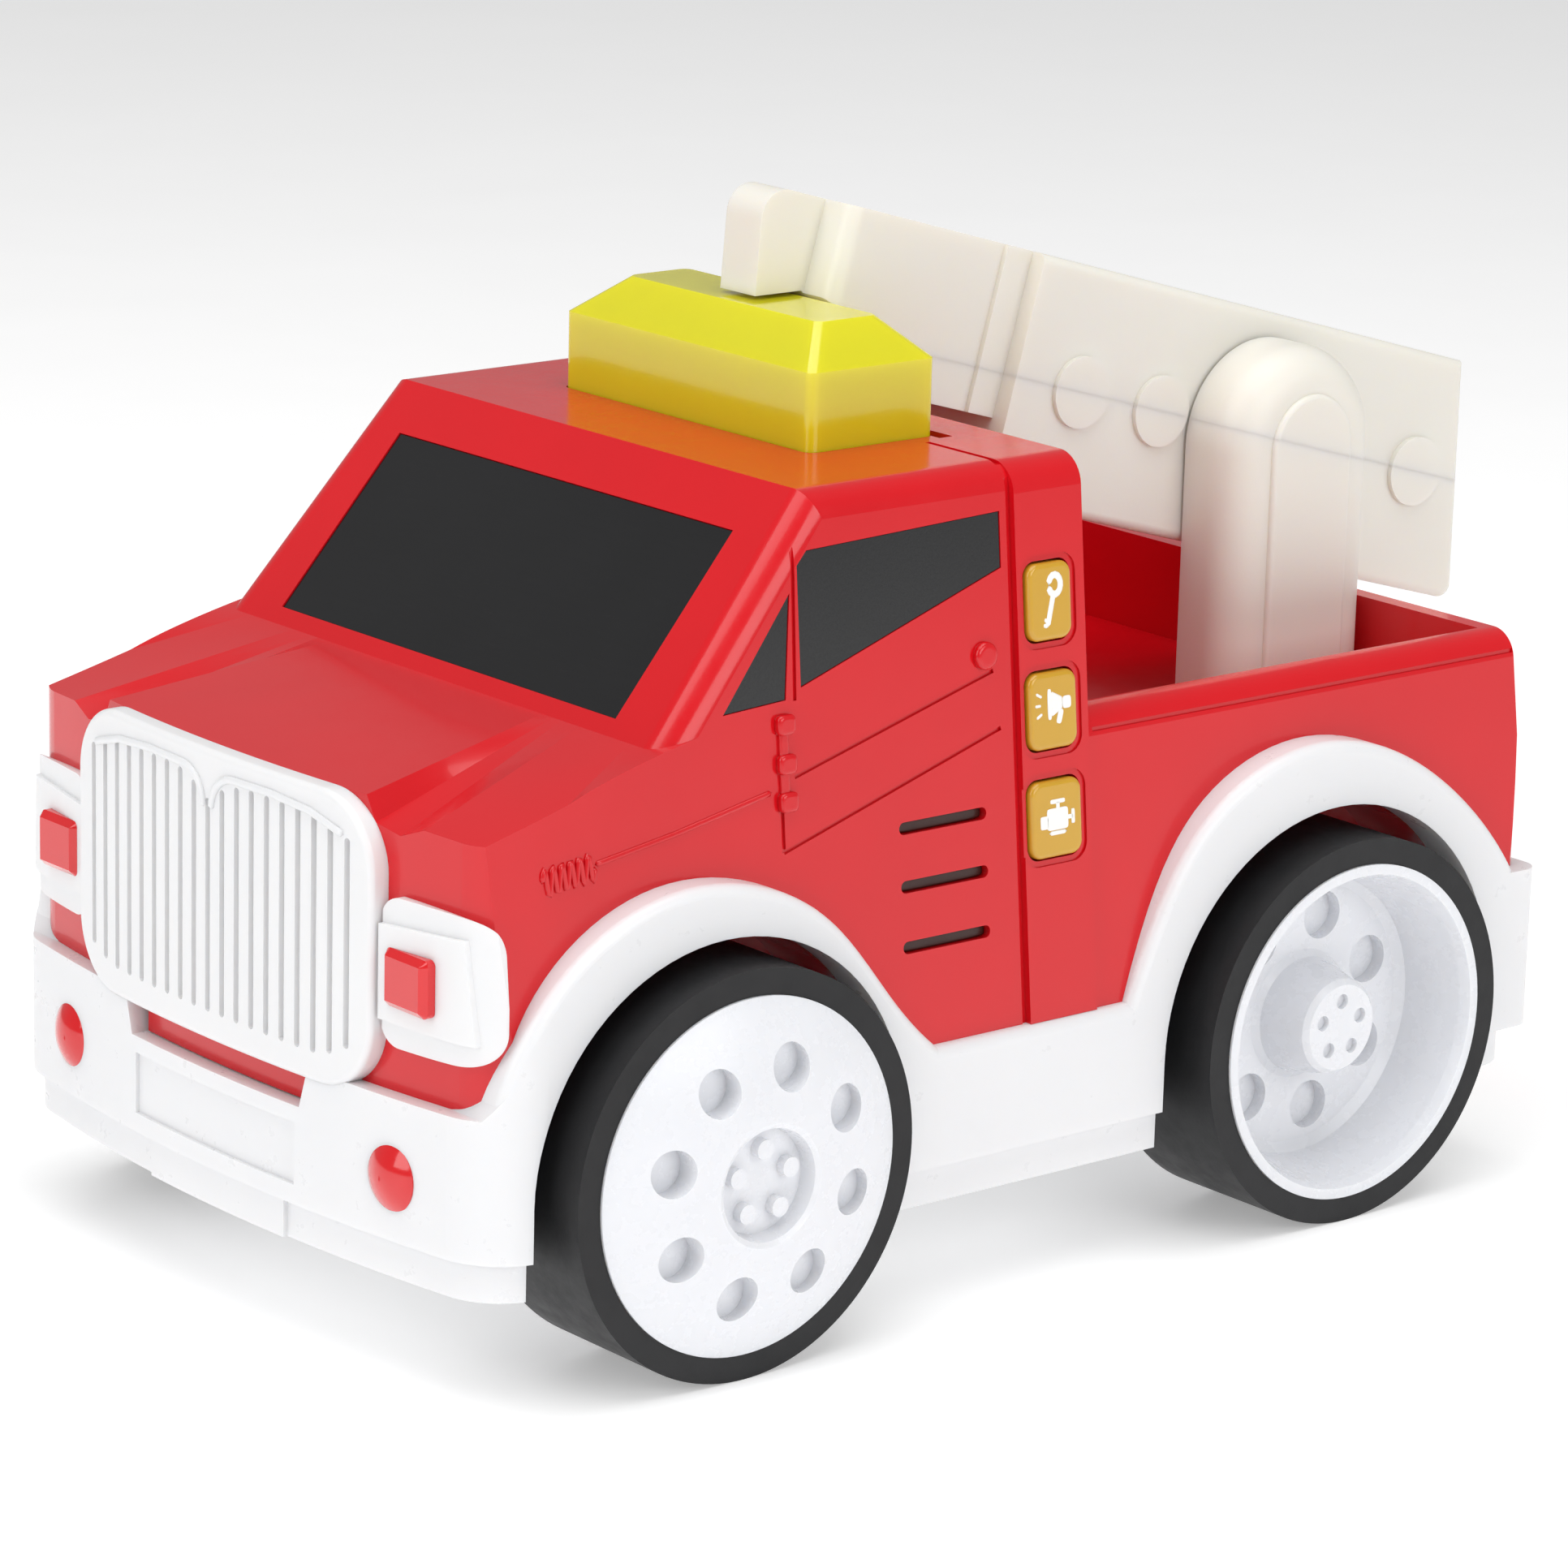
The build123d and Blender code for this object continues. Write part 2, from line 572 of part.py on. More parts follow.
with BuildPart() as lower_body:
    with BuildSketch(plan(LEDGE_Z)):
        add(plan_outline(REAR_X - 0.9, 98.0, FLARE_Y, 3.0, 10.0))
    extrude(amount=70 - LEDGE_Z)
    with BuildSketch(plan(PAN_Z)):
        add(plan_outline(REAR_X + 0.8, 96.6, FLARE_Y - 1.4, 7.0, 9.0))
    extrude(amount=LEDGE_Z - PAN_Z)
    with BuildSketch(side()):
        add(white_side.sketch)
    extrude(amount=70, both=True, mode=Mode.INTERSECT)
    arch_edges = lower_body.edges().filter_by(
        lambda e: abs(e.center().Y) > FLARE_Y - 0.1 and e.center().Z > SPLIT_Z - 0.1 and e.length > 20
    )
    fillet(arch_edges, 1.5)
    add(red_core.part, mode=Mode.SUBTRACT)
    with BuildSketch(plan(PAN_Z + WALL)):
        add(plan_outline(REAR_X + 0.8 + WALL, 96.6 - WALL, FLARE_Y - 1.4 - WALL, 5.0, 7.0))
    extrude(amount=SPLIT_Z - PAN_Z - WALL, mode=Mode.SUBTRACT)
    add(pan_linings.part)
    add(ARCH_CUTS, mode=Mode.SUBTRACT)
    # the middle of the front bumper steps down under the grille
    with BuildSketch(face_on(84.0)):
        Polygon(
            (-21.5, BUMPER_Z + 1), (-19.5, NOTCH_FLOOR_Z), (19.5, NOTCH_FLOOR_Z), (21.5, BUMPER_Z + 1),
            align=None,
        )
    extrude(amount=20, mode=Mode.SUBTRACT)
    # a shallow number-plate recess, and the raised step below it
    with BuildSketch(plan(23.4)):
        with Locations((98.0 - BOW_R, 0)):
            Circle(BOW_R + 2)
            Circle(BOW_R - 0.6, mode=Mode.SUBTRACT)
        with Locations((98.0, 0)):
            Rectangle(12, 37.0, mode=Mode.INTERSECT)
    extrude(amount=8.6, mode=Mode.SUBTRACT)
    with BuildSketch(plan(PAN_Z)):
        with Locations((97.3 - BOW_R, 0)):
            Circle(BOW_R)
            Circle(BOW_R - 2, mode=Mode.SUBTRACT)
        with Locations((97.0, 0)):
            Rectangle(8, 31.0, mode=Mode.INTERSECT)
    extrude(amount=LEDGE_Z - PAN_Z)
    # axle saddles
    for end in (1, -1):
        for hand in (1, -1):
            with BuildSketch(plan(PAN_Z)):
                with Locations((end * AXLE_X, hand * (SADDLE_Y + WELL_Y - 1) / 2)):
                    Rectangle(10, WELL_Y - 1 - SADDLE_Y)
            extrude(amount=AXLE_Z + 5 - PAN_Z)
    # battery bay: four walls and a lid, open downwards
    with BuildSketch(plan(PAN_Z)):
        Rectangle(2 * (BAY_HALF_X + 1.8), 2 * (BAY_HALF_Y + 1.8))
    extrude(amount=BAY_TOP_Z + 1.6 - PAN_Z)
    with BuildSketch(plan(PAN_Z)):
        Rectangle(2 * BAY_HALF_X, 2 * BAY_HALF_Y)
    extrude(amount=BAY_TOP_Z - PAN_Z, mode=Mode.SUBTRACT)
    with BuildSketch(plan(PAN_Z)):
        Rectangle(2 * BAY_HALF_X + 14, 2 * BAY_HALF_Y + 1)
    extrude(amount=DOOR_T, mode=Mode.SUBTRACT)
    # screw bosses
    for post_x, post_y in BODY_POSTS:
        with BuildSketch(plan(PAN_Z)):
            with Locations((post_x, post_y)):
                Circle(4.4)
        extrude(amount=SPLIT_Z - PAN_Z)
        with BuildSketch(plan(PAN_Z)):
            with Locations((post_x, post_y)):
                Circle(2.8)
        extrude(amount=14, mode=Mode.SUBTRACT)
        with BuildSketch(plan(PAN_Z)):
            with Locations((post_x, post_y)):
                Circle(SCREW_R + 0.2)
        extrude(amount=SPLIT_Z - PAN_Z, mode=Mode.SUBTRACT)
    # stand-offs for the circuit board, on the battery bay's lid
    with BuildSketch(plan(BAY_TOP_Z)):
        with GridLocations(46, 26, 2, 2):
            Circle(2.0)
    extrude(amount=5.0)
    for end in (1, -1):
        with BuildSketch(side(WELL_Y + 1)):
            with Locations((end * AXLE_X, AXLE_Z)):
                Circle(AXLE_R + RUN_GAP)
        extrude(amount=2 * (WELL_Y + 1), mode=Mode.SUBTRACT)
    add(both_sides(fog_lamp_L.part), mode=Mode.SUBTRACT)
    add(grille.part, mode=Mode.SUBTRACT)
    with BuildSketch(plan(PAN_Z + DOOR_T)):
        with Locations((DOOR_SCREW_X, 0)):
            Circle(POST_R)
            Circle(SCREW_R, mode=Mode.SUBTRACT)
    extrude(amount=8)
    with BuildSketch(plan(PAN_Z)):
        with Locations((DOOR_SCREW_X, 0)):
            Circle(SCREW_R)
    extrude(amount=9, mode=Mode.SUBTRACT)
finish(lower_body, "lower_body")

# ---- battery bay --------------------------------------------------------------------
with BuildPart() as battery_door:
    with BuildSketch(plan(PAN_Z)):
        Rectangle(2 * BAY_HALF_X + 13.6, 2 * BAY_HALF_Y + 0.6)
    extrude(amount=DOOR_T)
    with BuildSketch(plan(PAN_Z)):
        with Locations((DOOR_SCREW_X, 0)):
            Circle(SCREW_R + 0.2)
    extrude(amount=DOOR_T, mode=Mode.SUBTRACT)
    with BuildSketch(plan(PAN_Z)):
        with Locations((DOOR_SCREW_X, 0)):
            Circle(2.5)
    extrude(amount=1.0, mode=Mode.SUBTRACT)
    with BuildSketch(plan(PAN_Z)):
        with GridLocations(2.4, 1, 5, 1):
            Rectangle(1.0, 18.0)
    extrude(amount=0.4, mode=Mode.SUBTRACT)
finish(battery_door, "battery_door")

CELL_R = 7.15
CELL_L = 49.2
CELL_Z = PAN_Z + DOOR_T + 0.4 + CELL_R
with BuildPart() as batteries:
    for cell_y in (-7.5, 7.5):
        nose = 1 if cell_y > 0 else -1
        with BuildSketch(face_on(-CELL_L / 2)):
            with Locations((cell_y, CELL_Z)):
                Circle(CELL_R)
        extrude(amount=CELL_L)
        with BuildSketch(face_on(nose * CELL_L / 2)):
            with Locations((cell_y, CELL_Z)):
                Circle(2.6)
        extrude(amount=nose * 1.2)
finish(batteries, "batteries")

with BuildPart() as battery_contacts:
    for end in (1, -1):
        with BuildSketch(face_on(end * (BAY_HALF_X - 0.05))):
            with Locations((0, CELL_Z)):
                Rectangle(26.0, 11.0)
        extrude(amount=-end * 0.5)
        # the flat-end spring is shown at its working length, as a stepped cone
        for step_r, step_x in ((4.4, 0.0), (3.2, 1.6)):
            with BuildSketch(face_on(end * (BAY_HALF_X - 0.5 - step_x))):
                with Locations((-end * 7.5, CELL_Z)):
                    Circle(step_r)
                    Circle(step_r - 1.6, mode=Mode.SUBTRACT)
            extrude(amount=-end * 1.7)
finish(battery_contacts, "battery_contacts")

# ---- wheels -------------------------------------------------------------------------
def wheel_section(end):
    """Half section plane of an axle: sketch x along the axle, sketch y outwards from it."""
    return Plane(origin=(BASE_X + end * AXLE_X, 0, AXLE_Z), x_dir=(0, 1, 0), z_dir=(1, 0, 0))


def wheel_face(end, y):
    """Plane square to an axle at this y, facing out."""
    return Plane(origin=(BASE_X + end * AXLE_X, y, AXLE_Z), x_dir=(-1, 0, 0), z_dir=(0, 1, 0))


def axle_line(end):
    """Axis of an axle."""
    return Axis((BASE_X + end * AXLE_X, 0, AXLE_Z), (0, 1, 0))


HUB_IN_Y = 37.0
BORE_END_Y = 57.6
with BuildPart() as front_hub:
    with BuildSketch(wheel_section(1)):
        with BuildLine():
            Polyline(
                (62.8, 0), (BORE_END_Y, 0), (BORE_END_Y, AXLE_R), (HUB_IN_Y, AXLE_R), (HUB_IN_Y, 5.0),
                (59.4, 5.0), (59.9, 12.0), (57.4, 20.9), (41.0, 21.3), (41.0, SEAT_R),
                (60.0, SEAT_R), (60.0, RIM_R), (RIM_Y, RIM_R),
            )
            ThreePointArc((RIM_Y, RIM_R), (64.1, 16.2), (65.6, 8.4))
            Polyline((65.6, 8.4), (65.2, 7.7), (62.8, 7.2), (62.8, 0))
        make_face()
    revolve(axis=axle_line(1))
    with BuildSketch(wheel_face(1, 68.0)):
        with PolarLocations(15.6, 8, start_angle=29.8):
            Circle(3.2)
    extrude(amount=-6.6, mode=Mode.SUBTRACT)
    with BuildSketch(wheel_face(1, 62.8)):
        with PolarLocations(4.6, 5, start_angle=18.0):
            Circle(1.35)
    extrude(amount=1.5)

with BuildPart() as rear_hub:
    with BuildSketch(wheel_section(-1)):
        with BuildLine():
            Polyline(
                (58.2, 0), (54.0, 0), (54.0, AXLE_R), (HUB_IN_Y, AXLE_R), (HUB_IN_Y, 5.0), (46.0, 5.0),
                (46.0, 19.0), (41.0, 21.3), (41.0, SEAT_R), (60.0, SEAT_R), (60.0, RIM_R), (RIM_Y, RIM_R),
                (RIM_Y, 22.9), (59.6, 22.3), (50.6, 20.4), (49.6, 19.0), (49.6, 9.4), (50.4, 8.4),
                (57.4, 6.9), (58.2, 6.2), (58.2, 0),
            )
        make_face()
    revolve(axis=axle_line(-1))
    with BuildSketch(wheel_face(-1, 49.6)):
        with PolarLocations(14.4, 7, start_angle=23.7):
            Circle(3.5)
    extrude(amount=-2.2, mode=Mode.SUBTRACT)
    with BuildSketch(wheel_face(-1, 58.2)):
        with PolarLocations(3.8, 5, start_angle=18.0):
            Circle(1.1)
    extrude(amount=-0.9, mode=Mode.SUBTRACT)

HUBS = {"front": (1, front_hub.part), "rear": (-1, rear_hub.part)}
for place, (end, hub_solid) in HUBS.items():
    with BuildPart() as hub_L:
        add(hub_solid)
    with BuildPart() as hub_R:
        add(mirrored(hub_solid))
    with BuildPart() as tyre_L:
        with BuildSketch(wheel_section(end)) as tread:
            Polygon(
                (TYRE_IN_Y, SEAT_R), (60.0, SEAT_R), (60.0, RIM_R + 0.1), (60.9, RIM_R + 0.1),
                (60.9, TYRE_R), (TYRE_IN_Y, TYRE_R), align=None,
            )
            fillet(tread.vertices().filter_by(lambda v: v.Z > AXLE_Z + TYRE_R - 1), 2.4)
        revolve(axis=axle_line(end))
    with BuildPart() as tyre_R:
        add(mirrored(tyre_L.part))
    with BuildPart() as axle:
        with BuildSketch(side(BORE_END_Y - 0.4 if end > 0 else 53.8)):
            with Locations((end * AXLE_X, AXLE_Z)):
                Circle(AXLE_R)
        extrude(amount=2 * (BORE_END_Y - 0.4 if end > 0 else 53.8))
    finish(hub_L, f"hub_{place}_L")
    finish(hub_R, f"hub_{place}_R")
    finish(tyre_L, f"tyre_{place}_L")
    finish(tyre_R, f"tyre_{place}_R")
    finish(axle, f"axle_{place}")

# ---- roof light ---------------------------------------------------------------------
def bar_form(inset, foot_z):
    """The roof light's outer form, moved in by inset, standing on foot_z."""
    with BuildPart() as form:
        wide = BAR_FRONT_X - BAR_REAR_X - 2 * inset
        with BuildSketch(plan(foot_z)):
            with Locations((BAR_MID_X, 0)):
                RectangleRounded(wide, 2 * (BAR_Y - inset), 1.4)
        extrude(amount=BAR_SHOULDER_Z - 0.4 * inset - foot_z)
        with BuildSketch(plan(BAR_SHOULDER_Z - 0.4 * inset)):
            with Locations((BAR_MID_X, 0)):
                RectangleRounded(wide, 2 * (BAR_Y - inset), 1.4)
        with BuildSketch(plan(BAR_TOP_Z - inset)):
            with Locations((BAR_MID_X - 0.4, 0)):
                RectangleRounded(wide - 11.6, 2 * (BAR_Y - inset) - 12.6, 1.4)
        loft()
    return form.part


BAR_WALL = 1.6
BAR_FLANGE_Z = ROOF_Z - WALL - 1.4
with BuildPart() as bar_bays:
    add(bar_form(BAR_WALL, BAR_FLANGE_Z))
    with BuildSketch(plan(BAR_FLANGE_Z)):
        with Locations((BAR_MID_X, BAR_RIB_Y), (BAR_MID_X, -BAR_RIB_Y)):
            Rectangle(30, 1.2)
    extrude(amount=30, mode=Mode.SUBTRACT)

with BuildPart() as light_bar:
    add(bar_form(0, BAR_FLANGE_Z))
    with BuildSketch(plan(BAR_FLANGE_Z)):
        with Locations((BAR_MID_X, 0)):
            RectangleRounded(BAR_FRONT_X - BAR_REAR_X + 3.0, 2 * BAR_Y + 3.0, 2.0)
    extrude(amount=1.4)
    add(bar_bays.part, mode=Mode.SUBTRACT)
finish(light_bar, "light_bar")

with BuildPart() as led_board:
    with BuildSketch(plan(LED_BOARD_Z)):
        with Locations((BAR_MID_X, 0)):
            Rectangle(14.0, 66.0)
    extrude(amount=1.6)
finish(led_board, "led_board")

with BuildPart() as leds:
    for led_y in (-20.0, 0.0, 20.0):
        led_foot = (BASE_X + BAR_MID_X, led_y, LED_BOARD_Z + 1.6)
        with BuildSketch(Plane(origin=led_foot, x_dir=(1, 0, 0), z_dir=(0, -1, 0))):
            with BuildLine():
                Polyline((0, 0), (2.9, 0), (2.9, 1.0), (2.5, 1.0), (2.5, 6.0))
                CenterArc((0, 6.0), 2.5, 0, 90)
                Line((0, 8.5), (0, 0))
            make_face()
        revolve(axis=Axis(led_foot, (0, 0, 1)))
finish(leds, "leds")

# ---- buttons and electrics ----------------------------------------------------------
FLANGE_DEPTH = WALL + 0.1
PRESS = 1.3              # travel of a button
for button_name, button_z in BUTTON_ZS.items():
    with BuildPart() as button:
        with BuildSketch(left_skin(1.3)):
            with Locations((BUTTON_X, up_skin(button_z))):
                RectangleRounded(BUTTON_WS[button_name], BUTTON_H, 1.8)
        extrude(amount=1.3 + FLANGE_DEPTH)
        crown = button.faces().sort_by(Axis.Y)[-1]
        fillet(crown.edges(), 0.7)
        with BuildSketch(left_skin(-FLANGE_DEPTH)):
            with Locations((BUTTON_X + 0.6, up_skin(button_z))):
                Rectangle(7.6, BUTTON_H + 2.6)
        extrude(amount=1.2)
        with BuildSketch(left_skin(-FLANGE_DEPTH - 1.2)):
            with Locations((BUTTON_X, up_skin(button_z))):
                Circle(1.5)
        extrude(amount=2.6)
    finish(button, f"button_{button_name}")

SWITCH_DEPTH = FLANGE_DEPTH + 1.2 + 2.6 + PRESS + 0.1
with BuildPart() as tact_switches:
    for button_z in BUTTON_ZS.values():
        with BuildSketch(left_skin(-SWITCH_DEPTH)):
            with Locations((BUTTON_X, up_skin(button_z))):
                Circle(1.6)
        extrude(amount=1.0)
        with BuildSketch(left_skin(-SWITCH_DEPTH - 1.0)):
            with Locations((BUTTON_X, up_skin(button_z))):
                Rectangle(6.0, 6.0)
        extrude(amount=3.4)
finish(tact_switches, "tact_switches")

with BuildPart() as switch_board:
    with BuildSketch(left_skin(-SWITCH_DEPTH - 4.4)):
        with Locations((BUTTON_X + 0.4, up_skin(79.8))):
            Rectangle(7.8, 42.0)
    extrude(amount=1.6)
finish(switch_board, "switch_board")

SPEAKER_X = 15.6
with BuildPart() as speaker:
    with BuildSketch(left_skin(-WALL)):
        with Locations((SPEAKER_X, up_skin(59.4))):
            Circle(13.5)
            Circle(11.5, mode=Mode.SUBTRACT)
    extrude(amount=1.6)
    with BuildSketch(left_skin(-WALL - 0.8)):
        with Locations((SPEAKER_X, up_skin(59.4))):
            Circle(13.5)
    extrude(amount=2.4)
    with BuildSketch(left_skin(-WALL - 3.2)):
        with Locations((SPEAKER_X, up_skin(59.4))):
            Circle(8.5)
    extrude(amount=5.0)
finish(speaker, "speaker")

with BuildPart() as circuit_board:
    with BuildSketch(plan(BAY_TOP_Z + 5.0)):
        with Locations((4.0, 0)):
            Rectangle(70.0, 48.0)
    extrude(amount=1.6)
    with BuildSketch(plan(BAY_TOP_Z + 6.6)):
        with Locations((-12.0, 8.0)):
            Rectangle(14.0, 10.0)
        with Locations((20.0, -10.0)):
            Circle(4.0)
    extrude(amount=3.0)
finish(circuit_board, "circuit_board")

# ---- boom ---------------------------------------------------------------------------
NOSE_U = 94.4
ARM_U = 49.0             # where the arm leaves the main box
ARM_END_U = 83.0
TAIL_U = -45.0
BOOM_WALL = 2.0
BOSS_R = 5.2
BOSSES_U = [36.4, 20.2, -34.4]
BOOM_SCREWS_U = [40.0, -36.0]


def bar_room(gap):
    """The roof light's side outline with this much room round it, right across the truck."""
    with BuildPart() as room:
        with BuildSketch(side()):
            Polygon(
                (BAR_REAR_X - 1.5 * gap, 80), (BAR_REAR_X - 1.5 * gap, BAR_SHOULDER_Z),
                (3.1 - gap, BAR_TOP_Z + gap), (60, BAR_TOP_Z + gap), (60, 80), align=None,
            )
        extrude(amount=40, both=True)
    return room.part


def tail_line(height):
    """The boom's upright tail end, at this height above the parting line."""
    return TAIL_U + height * tan(radians(BOOM_TILT))


def boom_form(inset):
    """The boom's outer form, both shells as one, moved in by inset."""
    deep = BOOM_DEEP - inset
    with BuildPart() as form:
        with BuildSketch(boom_side()) as box_side:
            Polygon(
                (tail_line(-deep) + inset, -deep), (ARM_U - inset, -deep),
                (ARM_U - inset, deep), (tail_line(deep) + inset, deep), align=None,
            )
        extrude(amount=BOOM_HALF - inset, both=True)
        if inset == 0:
            fillet(form.edges().filter_by(Axis.Y).sort_by(Axis.X)[0], 2.0)
            fillet(form.edges().filter_by(lambda e: e.length > 80), 1.4)
        with BuildSketch(boom_side()):
            with Locations(((ARM_U + ARM_END_U) / 2 - 2, (deep - ARM_DROP + inset) / 2)):
                Rectangle(ARM_END_U - ARM_U + 4 - 2 * inset, deep + ARM_DROP - inset)
        extrude(amount=ARM_HALF - inset, both=True)
        if inset == 0:
            arm_end = form.faces().sort_by(Axis.X)[-1]
            fillet(arm_end.edges().filter_by(lambda e: e.length > 22), 2.4)
        with BuildSketch(boom_side()):
            with Locations((ARM_U + 2, (deep - ARM_DROP + inset) / 2)):
                Rectangle(5.6 - 2 * inset, deep + ARM_DROP - inset)
        extrude(amount=ARM_HALF + 0.8 - inset, both=True)
    return form.part


with BuildPart() as boom_hollow:
    add(boom_form(BOOM_WALL))
    add(bar_room(0.6 + BOOM_WALL), mode=Mode.SUBTRACT)

with BuildPart() as boom_solid:
    add(boom_form(0))
    with BuildSketch(boom_side()) as nose_side:
        root_u = ARM_END_U - 2
        Polygon((root_u, 0), (NOSE_U - 3.6, 0), (NOSE_U, BOOM_DEEP), (root_u, BOOM_DEEP), align=None)
        fillet(nose_side.vertices().sort_by(Axis.X)[-1], 4.0)
    extrude(amount=3.8, both=True)
    add(boom_hollow.part, mode=Mode.SUBTRACT)
    with BuildSketch(boom_side()):
        with Locations(*[(u, 0) for u in BOSSES_U]):
            Circle(BOSS_R)
    extrude(amount=BOOM_HALF + 0.8, both=True)
    with BuildSketch(boom_side()):
        with Locations(*[(u, 0) for u in BOSSES_U]):
            Circle(BOSS_R)
    extrude(amount=BOOM_HALF - BOOM_WALL, both=True, mode=Mode.SUBTRACT)
    with BuildSketch(boom_side()):
        Circle(6.5)
    extrude(amount=BOOM_HALF, both=True)
    with BuildSketch(boom_side()):
        Circle(PIN_R + RUN_GAP)
    extrude(amount=BOOM_HALF + 2, both=True, mode=Mode.SUBTRACT)
    for screw_u in BOOM_SCREWS_U:
        with BuildSketch(boom_top(-BOOM_DEEP + 1)):
            with Locations((screw_u, 0)):
                Circle(POST_R)
        extrude(amount=2 * BOOM_DEEP - 2)
    add(bar_room(0.6), mode=Mode.SUBTRACT)
    for screw_u in BOOM_SCREWS_U:
        with BuildSketch(boom_top(-BOOM_DEEP)):
            with Locations((screw_u, 0)):
                Circle(SCREW_R)
        extrude(amount=BOOM_DEEP + 10, mode=Mode.SUBTRACT)
        with BuildSketch(boom_top(-BOOM_DEEP)):
            with Locations((screw_u, 0)):
                Circle(2.2)
        extrude(amount=6, mode=Mode.SUBTRACT)

for shell_name, keep in (("boom_upper_shell", Keep.TOP), ("boom_lower_shell", Keep.BOTTOM)):
    with BuildPart() as shell:
        add(boom_solid.part)
        split(bisect_by=boom_top(0), keep=keep)
    finish(shell, shell_name)

with BuildPart() as boom_screws:
    for screw_u in BOOM_SCREWS_U:
        with BuildSketch(boom_top(-BOOM_DEEP + 4)):
            with Locations((screw_u, 0)):
                Circle(2.1)
        extrude(amount=2)
        with BuildSketch(boom_top(-BOOM_DEEP + 6)):
            with Locations((screw_u, 0)):
                Circle(SCREW_R)
        extrude(amount=BOOM_DEEP - 6 + 8)
finish(boom_screws, "boom_screws")

# the post that carries the boom: a cap closes the split bearing over the pin's end
PIN_END_Y = 21.0
PIN_FAR_Y = -12.0
with BuildPart() as whole_post:
    with BuildSketch(side(EAR_IN_Y)):
        with Locations((PIVOT_X, PIVOT_Z)):
            Circle(EAR_R)
        with Locations((PIVOT_X, (PIVOT_Z + BED_FLOOR_Z) / 2)):
            Rectangle(2 * EAR_R, PIVOT_Z - BED_FLOOR_Z)
    extrude(amount=-(EAR_OUT_Y - EAR_IN_Y))
    outer = whole_post.faces().sort_by(Axis.Y)[-1]
    fillet(outer.edges().filter_by(lambda e: e.center().Z > BED_FLOOR_Z + 1), 5.6)
    with BuildSketch(side(EAR_OUT_Y - 2)):
        with Locations((PIVOT_X, PIVOT_Z)):
            Circle(7.8)
        with Locations((PIVOT_X, (PIVOT_Z + BED_FLOOR_Z) / 2)):
            Rectangle(15.6, PIVOT_Z - BED_FLOOR_Z)
    extrude(amount=-2.8)
    pad_face = whole_post.faces().sort_by(Axis.Y)[-1]
    fillet(pad_face.edges().filter_by(lambda e: e.center().Z > BED_FLOOR_Z + 1), 0.7)
    with BuildSketch(side(EAR_IN_Y)):
        with Locations((PIVOT_X, PIVOT_Z)):
            Circle(PIN_R)
    extrude(amount=-(PIN_END_Y - EAR_IN_Y), mode=Mode.SUBTRACT)

with BuildPart() as post_cap:
    add(whole_post.part)
    split(bisect_by=boom_top(0), keep=Keep.TOP)
finish(post_cap, "post_cap")

with BuildPart() as boom_post:
    add(whole_post.part)
    split(bisect_by=boom_top(0), keep=Keep.BOTTOM)
    with BuildSketch(plan(BED_FLOOR_Z)):
        with Locations(*POST_SCREWS):
            Circle(SCREW_R)
    extrude(amount=9, mode=Mode.SUBTRACT)
finish(boom_post, "boom_post")

with BuildPart() as pivot_pin:
    with BuildSketch(side(PIN_END_Y - 0.1)):
        with Locations((PIVOT_X, PIVOT_Z)):
            Circle(PIN_R)
    extrude(amount=PIN_END_Y - 0.1 - PIN_FAR_Y)
finish(pivot_pin, "pivot_pin")

# ---- screws, one group to each place ------------------------------------------------
SCREW_GROUPS = {
    "body_screws": (BODY_POSTS, PAN_Z + 12.0, 2.0, 18.0),
    "post_screws": (POST_SCREWS, BED_FLOOR_Z - WALL - 2.0, 2.0, 9.0),
    "door_screw": ([(DOOR_SCREW_X, 0.0)], PAN_Z + 0.1, 0.9, 7.0),
}
for group_name, (places, head_z, head_t, reach) in SCREW_GROUPS.items():
    with BuildPart() as screws:
        for screw_x, screw_y in places:
            with BuildSketch(plan(head_z)):
                with Locations((screw_x, screw_y)):
                    Circle(2.3)
            extrude(amount=head_t)
            with BuildSketch(plan(head_z + head_t)):
                with Locations((screw_x, screw_y)):
                    Circle(SCREW_R)
            extrude(amount=reach)
    finish(screws, group_name)
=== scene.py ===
# %% [markdown]
# # A chunky toy fire truck, dressed for its portrait
# The truck's shapes come ready made from its CAD model. This lesson gives every moulding its
# plastic, adds the small raised marks that a mould leaves, and lights it like a catalogue picture.

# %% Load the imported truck
import bpy
import bmesh
import math
import numpy as np
from mathutils import Matrix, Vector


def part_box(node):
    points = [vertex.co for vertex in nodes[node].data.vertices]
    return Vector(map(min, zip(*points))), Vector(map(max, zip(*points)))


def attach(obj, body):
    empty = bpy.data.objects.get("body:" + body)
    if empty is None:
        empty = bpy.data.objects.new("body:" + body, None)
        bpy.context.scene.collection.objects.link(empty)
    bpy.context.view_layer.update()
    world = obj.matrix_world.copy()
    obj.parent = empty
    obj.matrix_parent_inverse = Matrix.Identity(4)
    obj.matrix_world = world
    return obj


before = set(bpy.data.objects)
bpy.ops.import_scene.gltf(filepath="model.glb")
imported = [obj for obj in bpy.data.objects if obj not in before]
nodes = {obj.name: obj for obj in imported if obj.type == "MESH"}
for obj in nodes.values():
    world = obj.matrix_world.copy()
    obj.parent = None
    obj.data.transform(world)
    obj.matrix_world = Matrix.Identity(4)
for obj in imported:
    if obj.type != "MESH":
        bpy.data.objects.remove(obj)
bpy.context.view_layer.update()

# %% [markdown]
# The small marks are placed in millimetres from the middle of the wheelbase, along the leaning
# sides of the body. The axles say where that middle is, so nothing is typed in twice.

